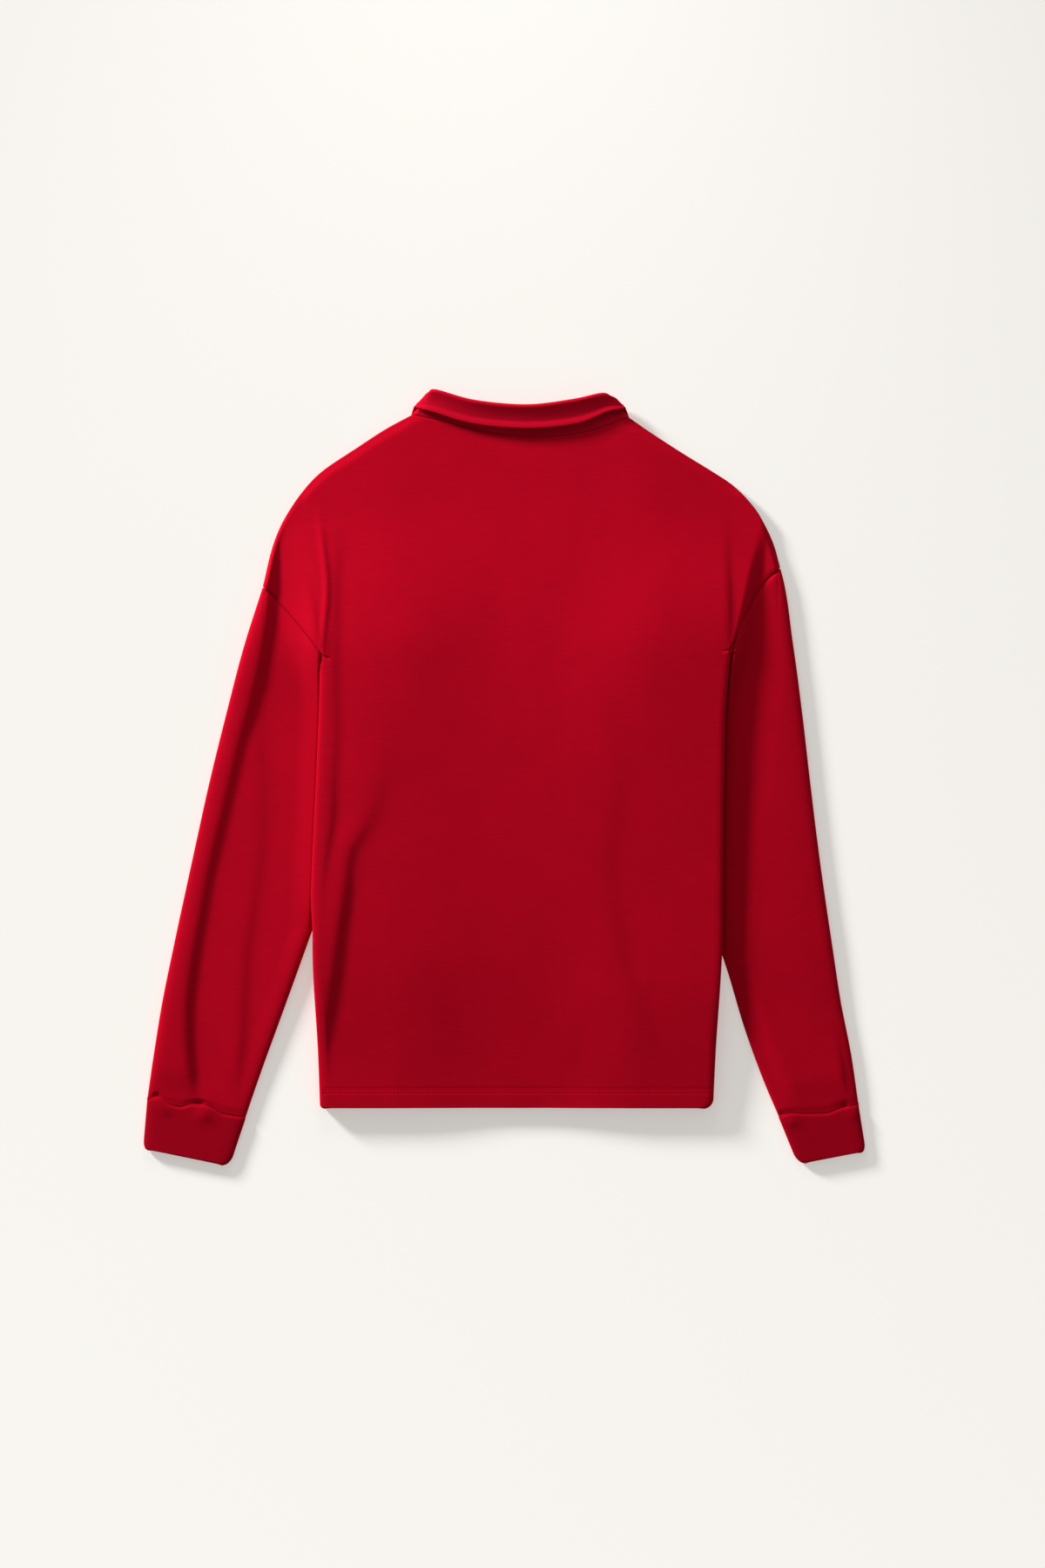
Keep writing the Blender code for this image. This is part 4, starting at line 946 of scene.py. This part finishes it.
# %% Stations round the collar
# Place on the neck seam (below 0 or above 1 on the front), x and y of the roll and of the leaf's
# edge, heights of both, way the leaf faces in degrees, space between stand and leaf.
COLLAR_STATIONS = [
    ("front end", -0.46, -9, 636, -47, 584, 3.7, 0.8, -90, 3.0),
    ("front", -0.30, -50, 659, -82, 616, 3.7, 0.8, -90, 3.0),
    ("front side", -0.14, -78, 684, -109, 652, 3.9, 0.9, -90, 3.0),
    ("turn", -0.05, -90, 697, -109, 677, 4.6, 1.8, -70, 3.2),
    ("side", 0.00, -93.4, 700.6, -105, 691.5, 8.4, 7.4, 0, 4.4),
    ("shoulder", 0.05, -90, 704.2, -101, 690.5, 12.6, 11.8, 55, 4.4),
    ("back side", 0.12, -82, 705.8, -86, 686.5, 16.2, 14.2, 85, 4.4),
    ("back quarter", 0.28, -45, 695.5, -47, 675.0, 18.5, 15.0, 90, 4.4),
    ("back", 0.52, 6, 691.0, 6, 670.2, 19.0, 15.6, 90, 4.4),
    ("back quarter", 0.74, 52, 696.4, 55, 674.8, 18.5, 15.2, 90, 4.4),
    ("back side", 0.88, 80, 702.6, 86, 686.8, 16.2, 14.4, 85, 4.4),
    ("shoulder", 0.95, 89, 700.5, 101, 690.0, 12.6, 11.8, 55, 4.4),
    ("side", 1.00, 94, 698.0, 104, 690.0, 8.4, 7.4, 0, 4.4),
    ("turn", 1.05, 90, 693.5, 109, 674.5, 4.6, 1.8, -70, 3.2),
    ("front side", 1.14, 78, 682, 109, 650, 3.9, 0.9, -90, 3.0),
    ("front", 1.30, 50, 658, 82, 615, 3.7, 0.8, -90, 3.0),
    ("front end", 1.46, 9, 636, 47, 584, 3.7, 0.8, -90, 3.0),
]
NECK_GAP = 0.15
CORNER_SPREAD = 2.4
LIP_RISE, LIP_START, LEAF_SAG = 2.2, 0.68, 1.5
STAND_END, LEAF_START = 0.4, 0.6       # shares of the way across, with the roll between them
COLLAR_LENGTH, COLLAR_DEPTH = 620.0, 66.0      # the collar laid out flat
print("the collar goes through", len(COLLAR_STATIONS), "stations")


# %% The collar in space
def neck_seam(place):
    """The panels' neck edge, moved by the gap into the neck."""
    on_back = (place >= 0) & (place <= 1)
    share = np.where(place < 0, -place, np.where(on_back, place, 2 - place))
    point, ahead = [], []
    for axis in (1, 2):
        for shift, kept in ((0.0, point), (0.01, ahead)):
            back = neck_edge(NECK_BACK, share + shift, axis)
            kept.append(np.where(on_back, back, neck_edge(NECK_FRONT, share + shift, axis)))
    along_x, along_y = ahead[0] - point[0], ahead[1] - point[1]
    length = np.maximum(np.hypot(along_x, along_y), 1e-6)
    middle = step(0.0, 0.06, share) * step(1.0, 0.94, share)
    normal_x = -along_y / length * middle
    normal_y = along_x / length * middle + CORNER_SPREAD * (1 - middle)
    return point[0] + NECK_GAP * normal_x, point[1] + NECK_GAP * normal_y


def collar_points(way, out):
    """Stand, half-round roll and leaf: three stretches between the seam, the roll and the edge."""
    stations = np.linspace(0, 1, len(COLLAR_STATIONS))
    names = ("seam", "roll_x", "roll_y", "edge_x", "edge_y", "roll_z", "edge_z", "facing", "spread")
    at = {}
    for index, name in enumerate(names, start=1):
        at[name] = through(way, stations, column(COLLAR_STATIONS, index))
    seam_x, seam_y = neck_seam(at["seam"])
    on_back = step(-0.02, 0.02, at["seam"]) * step(1.02, 0.98, at["seam"])
    seam_z = front_height(seam_x, seam_y) * (1 - on_back) + (back_height(seam_x, seam_y) - 0.3) * on_back
    facing = np.radians(at["facing"])
    side_x = np.where(way < 0.5, -1.0, 1.0) * np.cos(facing)
    up_z = np.sin(facing)
    half = at["spread"] / 2
    stand = np.clip(out / STAND_END, 0, 1)
    turn = math.pi * np.clip((out - STAND_END) / (LEAF_START - STAND_END), 0, 1)
    leaf = np.clip((out - LEAF_START) / (1 - LEAF_START), 0, 1)
    run = np.hypot(at["roll_x"] - seam_x, at["roll_y"] - seam_y)
    seam = [seam_x, seam_y, seam_z]
    inner = [at["roll_x"] - half * side_x, at["roll_y"], at["roll_z"] - half * up_z]
    outer = [at["roll_x"] + half * side_x, at["roll_y"], at["roll_z"] + half * up_z]
    edge = [at["edge_x"], at["edge_y"], at["edge_z"]]
    ahead = [(at["roll_x"] - seam_x) / run, (at["roll_y"] - seam_y) / run, 0.0]
    facing_up = np.clip(up_z, 0, 1)
    bend = 0.5 - 0.5 * np.cos(turn)
    lip = np.clip((leaf - LIP_START) / (1 - LIP_START), 0, 1) ** 0.8
    sag = (LIP_RISE * (lip - 0.35 * lip**6) - LEAF_SAG * np.sin(math.pi * leaf)) * facing_up
    point = []
    for axis in range(3):
        on_stand = seam[axis] + (inner[axis] - seam[axis]) * stand
        on_roll = inner[axis] + (outer[axis] - inner[axis]) * bend + ahead[axis] * half * np.sin(turn)
        on_leaf = outer[axis] + (edge[axis] - outer[axis]) * leaf
        point.append(np.where(out <= STAND_END, on_stand, np.where(out <= LEAF_START, on_roll, on_leaf)))
    point[2] = point[2] + np.where(out > LEAF_START, sag, 0.0)
    return np.column_stack(point), np.column_stack([way * COLLAR_LENGTH, out * COLLAR_DEPTH])


# %% Make the collar
collar_way = np.linspace(0, 1, 289)
collar_out = spaced([(0.0, STAND_END, 14), (STAND_END, LEAF_START, 16), (LEAF_START, 1.0, 24)])
way, out = (part.ravel() for part in np.meshgrid(collar_way, collar_out))
collar_place, collar_uv = collar_points(way, out)
collar_mesh = grid_mesh("collar_cloth", collar_place, len(collar_way), collar_uv)
collar_cloth = cloth_object("collar_cloth", collar_mesh, CLOTH, collar_knit)

# %% [markdown]
# ## Seam allowances and stitches
# Under each seam the two pieces' edges are turned in and sewn together, so no light comes
# through. Each allowance is a narrow ribbon that follows its seam just under the cloth. The hem
# is held by a twin needle, which leaves two rows of short stitches lying in shallow grooves.
# All the stitches of a hem are one mesh: one small spindle, repeated at each stitch's place.
# The collar's leaf has one such row along its edge, turned with the leaf's own surface.

# %% Ribbons under the seams
ALLOWANCE = 4.5            # how far a seam allowance reaches on each side
ALLOWANCE_DROP = 1.75      # how far it lies under the middle of the cloth
RIBBON_WALL = 0.8
RIBBON_COLUMNS, RIBBON_ROWS = 121, 9
ribbon_grid = np.meshgrid(np.linspace(0, 1, RIBBON_COLUMNS), np.linspace(-1, 1, RIBBON_ROWS))
ribbon_along, ribbon_across = (part.ravel() for part in ribbon_grid)


def ribbon(name, seam_x, seam_y, normal_x, normal_y):
    """A strip over the seam's line, at the back's height less the drop."""
    x = seam_x + normal_x * ALLOWANCE * ribbon_across
    y = seam_y + normal_y * ALLOWANCE * ribbon_across
    z = back_height(x, y) - ALLOWANCE_DROP
    mesh = grid_mesh(name, np.column_stack([x, y, z]), RIBBON_COLUMNS, np.column_stack([x, y]))
    return cloth_object(name, mesh, RIBBON_WALL, jersey)


tape_x, tape_y = neck_seam(0.012 + 0.976 * ribbon_along)
neck_tape = ribbon("neck_allowance", tape_x, tape_y + 0.6, 0.0 * tape_x, 1.0 + 0.0 * tape_x)
armhole_tape = {}
for side in ("left", "right"):
    near_end, far_end = SEAM_ENDS[side]
    first = near_end + (6.0 if side == "left" else -6.0)
    last = far_end + (1.5 if side == "left" else -1.5)
    seam_x = first + (last - first) * ribbon_along
    seam_y, half_gap = armhole_seam(seam_x, side)
    slant = ARMHOLE_GAP / 2 / half_gap
    lean = np.sqrt(np.maximum(1 - slant**2, 0)) * (1 if side == "left" else -1)
    armhole_tape[side] = ribbon("armhole_allowance_" + side, seam_x, seam_y, lean, slant)
print("three ribbons of", 2 * ALLOWANCE, "mm close the seams")

# %% The hem's stitches
STITCH_LENGTH, STITCH_PITCH, STITCH_WIDTH = 2.5, 3.1, 0.7
SPINDLE_SIDES = 6
SPINDLE_RINGS = [(-0.5, 0.35), (0.0, 1.0), (0.5, 0.35)]     # place along the thread, width


def stitches(name, places, directions, finish):
    """One spindle of six sides and three rings at each place, turned to lie along its direction."""
    around = np.linspace(0, 2 * math.pi, SPINDLE_SIDES, endpoint=False)
    shape = np.vstack([
        np.column_stack([0 * around + place, np.cos(around) * size, np.sin(around) * size])
        for place, size in SPINDLE_RINGS
    ])
    forward = directions / np.linalg.norm(directions, axis=1)[:, None]
    sideways = np.cross(np.array([0.0, 0.0, 1.0]), forward)
    sideways = sideways / np.linalg.norm(sideways, axis=1)[:, None]
    up = np.cross(forward, sideways)
    points = places[:, None, :] + forward[:, None, :] * (shape[:, 0] * STITCH_LENGTH)[None, :, None]
    points = points + sideways[:, None, :] * (shape[:, 1] * STITCH_WIDTH / 2)[None, :, None]
    points = points + up[:, None, :] * (shape[:, 2] * STITCH_WIDTH / 2)[None, :, None]
    a = np.arange(SPINDLE_SIDES)
    b = (a + 1) % SPINDLE_SIDES
    ring = np.column_stack([a, a + SPINDLE_SIDES, b + SPINDLE_SIDES, b])
    sides = np.vstack([ring, ring + SPINDLE_SIDES])
    faces = (sides[None] + len(shape) * np.arange(len(places))[:, None, None]).reshape(-1, 4)
    mesh = bpy.data.meshes.new(name)
    mesh.from_pydata(((points.reshape(-1, 3) + PLAN_SHIFT) * MM).tolist(), [], faces.tolist())
    mesh.polygons.foreach_set("use_smooth", np.ones(len(faces), dtype=bool))
    mesh.materials.append(finish)
    thing = bpy.data.objects.new(name, mesh)
    bpy.context.scene.collection.objects.link(thing)
    return thing


HEM_START, HEM_END = -196.0, 188.0
THREAD_RISE = 0.05         # how far a thread's middle stands above the cloth
hem_x = np.arange(HEM_START, HEM_END, STITCH_PITCH)
hem_x, hem_y = (part.ravel() for part in np.meshgrid(hem_x, np.array(HEM_STITCHES)))
hem_z = back_height(hem_x, hem_y)
hem_place = np.column_stack([hem_x, hem_y, hem_z + CLOTH / 2 + THREAD_RISE])
hem_way = np.column_stack([np.ones(len(hem_x)), 0 * hem_x, back_height(hem_x + 1.0, hem_y) - hem_z])
hem_stitches = stitches("hem_stitches", hem_place, hem_way, jersey)
print(len(hem_x), "stitches in the back's hem")

# %% The row of stitches along the collar's edge
EDGE_STITCH_OUT = 0.868    # place across the collar, from 0 at the seam to 1 at the leaf's edge
EDGE_STITCHES = 190
edge_way = np.linspace(0.03, 0.97, EDGE_STITCHES)
edge_out = 0 * edge_way + EDGE_STITCH_OUT
edge_place, _ = collar_points(edge_way, edge_out)
ahead_place, _ = collar_points(edge_way + 0.001, edge_out)
outward_place, _ = collar_points(edge_way, edge_out + 0.005)
edge_direction = ahead_place - edge_place
edge_normal = np.cross(outward_place - edge_place, edge_direction)
edge_normal = edge_normal / np.linalg.norm(edge_normal, axis=1)[:, None]
collar_stitches = stitches(
    "collar_stitches", edge_place + edge_normal * (CLOTH / 2 + THREAD_RISE), edge_direction, collar_knit
)
print("the stitches face up at the back:", bool(edge_normal[EDGE_STITCHES // 2][2] > 0))

# %% [markdown]
# ## Placket and buttons
# The opening is on the hidden front: a narrow strip with three small buttons, closed and lying
# against the floor. A button is a turned shape: its height depends on the distance from its
# middle, with a raised rim, a dished middle and four holes pressed in.

# %% The placket
PLACKET_WIDTH, PLACKET_TOP, PLACKET_LENGTH, PLACKET_HEIGHT = 30.0, 603.0, 140.0, 3.3
across, along = (part.ravel() for part in np.meshgrid(np.linspace(0, 1, 17), np.linspace(0, 1, 57)))
placket_place = np.column_stack([
    (across - 0.5) * PLACKET_WIDTH,
    PLACKET_TOP - PLACKET_LENGTH * along,
    PLACKET_HEIGHT + 0.0 * across,
])
placket_mesh = grid_mesh("placket_cloth", placket_place, 17, placket_place[:, :2])
placket_cloth = cloth_object("placket_cloth", placket_mesh, CLOTH, jersey)

# %% The buttons
BUTTON_RADIUS = 5.75
BUTTON_HEIGHTS = (588.0, 538.0, 488.0)


def button_mesh(name, y):
    """A closed turned shape, face down: rings from the face's middle round the rim to the back's."""
    profile = np.array([
        (0.0, 0.75), (1.3, 0.75), (2.4, 0.70), (3.3, 0.45), (4.0, 0.15), (4.7, 0.0), (5.3, 0.12),
        (5.7, 0.55), (5.75, 1.0), (5.6, 1.55), (5.1, 1.95), (4.2, 2.1), (2.0, 2.1), (0.0, 2.1),
    ])
    smooth = np.linspace(0, len(profile) - 1, 79)
    radius = through(smooth, np.arange(len(profile)), profile[:, 0]).clip(0, BUTTON_RADIUS)
    height = through(smooth, np.arange(len(profile)), profile[:, 1])
    turn = np.arange(64) / 64 * 2 * math.pi
    ring, angle = (part.ravel() for part in np.meshgrid(np.arange(1, 78), turn, indexing="ij"))
    x, depth = radius[ring] * np.cos(angle), radius[ring] * np.sin(angle)
    z = height[ring]
    for hole_x, hole_y in ((1.1, 1.1), (-1.1, 1.1), (1.1, -1.1), (-1.1, -1.1)):
        near = bump(np.hypot(x - hole_x, depth - hole_y), 0.0, 0.55) * (ring < 40)
        z = z + 0.9 * near
    points = np.column_stack([x, y + depth, z + 0.05])
    poles = np.array([[0.0, y, height[0] + 0.05], [0.0, y, height[-1] + 0.05]])
    first, last, count = len(points), len(points) + 1, len(turn)
    number = np.arange(len(points)).reshape(-1, count)
    turned = np.roll(number, -1, axis=1)
    quads = np.stack([number[:-1], number[1:], turned[1:], turned[:-1]], axis=-1).reshape(-1, 4)
    face = np.stack([np.full(count, first), number[0], turned[0]], axis=-1)
    back = np.stack([np.full(count, last), turned[-1], number[-1]], axis=-1)
    mesh = bpy.data.meshes.new(name)
    places = (np.vstack([points, poles]) + PLAN_SHIFT) * MM
    mesh.from_pydata(places.tolist(), [], quads.tolist() + face.tolist() + back.tolist())
    mesh.shade_smooth()
    return mesh


def button_finish():
    """Dyed resin: deep red with faint clouds and a soft gloss."""
    finish = bpy.data.materials.new("red button resin")
    finish.use_nodes = True
    nodes, links = finish.node_tree.nodes, finish.node_tree.links
    shader = nodes["Principled BSDF"]
    shader.inputs["Roughness"].default_value = 0.32
    place = nodes.new("ShaderNodeTexCoord")
    clouds = nodes.new("ShaderNodeTexNoise")
    clouds.inputs["Scale"].default_value = 320.0
    links.new(place.outputs["Object"], clouds.inputs["Vector"])
    tone = nodes.new("ShaderNodeValToRGB")
    tone.color_ramp.elements[0].color = (0.20, 0.002, 0.008, 1.0)
    tone.color_ramp.elements[1].color = (0.34, 0.006, 0.016, 1.0)
    links.new(clouds.outputs["Fac"], tone.inputs["Fac"])
    links.new(tone.outputs["Color"], shader.inputs["Base Color"])
    return finish


resin = button_finish()
buttons = []
for number, y in enumerate(BUTTON_HEIGHTS, start=1):
    name = "button_turned_%d" % number
    buttons.append(cloth_object(name, button_mesh(name, y), 0, resin))

# %% [markdown]
# ## Putting the pieces in the frame
# Every piece rides on the one body and stands for its CAD solid, which is hidden. Each row also lists a
# material slot, which nothing reads.

# %% Which CAD piece each stands for
riders = [
    (back_cloth, "back_panel", "jersey"), (front_cloth, "front_panel", "jersey"),
    (sleeve_cloth["left"], "sleeve_left", "jersey"), (sleeve_cloth["right"], "sleeve_right", "jersey"),
    (cuff_cloth["left"], "cuff_left", "rib"), (cuff_cloth["right"], "cuff_right", "rib"),
    (collar_cloth, "collar", "collar_cloth"), (placket_cloth, "placket", "jersey"),
    *((button, "button_%d" % number, "button") for number, button in enumerate(buttons, start=1)),
]
for piece, node, slot in riders:
    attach(piece, "root")
    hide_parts(node)
for piece in [neck_tape, armhole_tape["left"], armhole_tape["right"], hem_stitches]:
    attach(piece, "root")
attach(collar_stitches, "root")
print(len(riders), "main pieces ride on the body")

# %% A loop over the two sides, with nothing in it
for side in ("left", "right"):
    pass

# %% [markdown]
# ## Floor, light and camera
# The photograph looks straight down on a pale, warm white ground. One soft lamp stands low at
# the upper left, so every crease shows, and the rest of the light comes from all round.

# %% The floor
floor_mesh = bpy.data.meshes.new("floor")
floor_mesh.from_pydata([(-5, -5, 0), (5, -5, 0), (5, 5, 0), (-5, 5, 0)], [], [(0, 1, 2, 3)])
floor = bpy.data.objects.new("floor", floor_mesh)
bpy.context.scene.collection.objects.link(floor)
FLOOR_WHITE = (0.93, 0.905, 0.865, 1.0)
ground = bpy.data.materials.new("pale ground")
ground.use_nodes = True
floor_nodes, floor_links = ground.node_tree.nodes, ground.node_tree.links
floor_shader = floor_nodes["Principled BSDF"]
floor_shader.inputs["Roughness"].default_value = 0.95
floor_shader.inputs["Specular IOR Level"].default_value = 0.0
floor_shader.inputs["Emission Color"].default_value = FLOOR_WHITE
floor_shader.inputs["Emission Strength"].default_value = 0.42
floor_place = floor_nodes.new("ShaderNodeTexCoord")
towards = floor_nodes.new("ShaderNodeVectorMath")
towards.operation = "DOT_PRODUCT"
towards.inputs[1].default_value = (0.40, -0.92, 0.0)
floor_links.new(floor_place.outputs["Object"], towards.inputs[0])
grade = floor_nodes.new("ShaderNodeMapRange")
grade.inputs["From Min"].default_value = -1.0
grade.inputs["From Max"].default_value = 1.0
grade.inputs["To Min"].default_value = 0.0
grade.inputs["To Max"].default_value = 1.0
floor_links.new(towards.outputs["Value"], grade.inputs["Value"])
white = floor_nodes.new("ShaderNodeValToRGB")
white.color_ramp.elements[0].color = (0.38, 0.371, 0.353, 1.0)
white.color_ramp.elements[1].color = (0.92, 0.90, 0.865, 1.0)
middle_white = white.color_ramp.elements.new(0.5)
middle_white.color = (0.64, 0.628, 0.60, 1.0)
floor_links.new(grade.outputs["Result"], white.inputs["Fac"])
floor_links.new(white.outputs["Color"], floor_shader.inputs["Base Color"])
floor_mesh.materials.append(ground)
print("the floor is 10 m square")

# %% The lamps
LAMP_DIRECTION = math.radians(140)     # from +x, anticlockwise seen from above
LAMP_ELEVATION = math.radians(15)
LAMP_DISTANCE = 5.2
lamp_place = (
    LAMP_DISTANCE * math.cos(LAMP_ELEVATION) * math.cos(LAMP_DIRECTION),
    LAMP_DISTANCE * math.cos(LAMP_ELEVATION) * math.sin(LAMP_DIRECTION),
    LAMP_DISTANCE * math.sin(LAMP_ELEVATION),
)
key = bpy.data.lights.new("low lamp", "AREA")
key.shape = "DISK"
key.size = 0.9
key.energy = 490.0
key_object = bpy.data.objects.new("low lamp", key)
key_object.location = lamp_place
key_object.rotation_mode = "QUATERNION"
key_object.rotation_quaternion = key_object.location.to_track_quat("Z", "Y")
bpy.context.scene.collection.objects.link(key_object)
top = bpy.data.lights.new("top lamp", "AREA")
top.shape = "DISK"
top.size = 0.6
top.energy = 3.6
top_object = bpy.data.objects.new("top lamp", top)
top_object.location = (-0.05, 1.15, 0.6)
top_object.rotation_mode = "QUATERNION"
top_object.rotation_quaternion = top_object.location.to_track_quat("Z", "Y")
bpy.context.scene.collection.objects.link(top_object)
sky = bpy.data.worlds.new("soft room")
sky.use_nodes = True
sky.node_tree.nodes["Background"].inputs["Color"].default_value = (1.0, 0.985, 0.965, 1.0)
sky.node_tree.nodes["Background"].inputs["Strength"].default_value = 0.27
bpy.context.scene.world = sky
bpy.context.scene.view_settings.view_transform = "Standard"
print("the lamp stands at", [round(v, 2) for v in lamp_place], "m")

# %% The camera
FIELD_HEIGHT = 1.548                   # metres of floor from the picture's bottom to its top
PICTURE_CENTRE = (0.0181, -0.0058)
LENS, SENSOR = 85.0, 36.0
camera = bpy.data.cameras.new("overhead camera")
camera.lens = LENS
camera.sensor_width = SENSOR
camera_object = bpy.data.objects.new("overhead camera", camera)
camera_object.location = (*PICTURE_CENTRE, FIELD_HEIGHT * LENS / SENSOR + 0.01)
bpy.context.scene.collection.objects.link(camera_object)
bpy.context.scene.camera = camera_object
print("the camera hangs", round(camera_object.location.z, 3), "m above the floor")
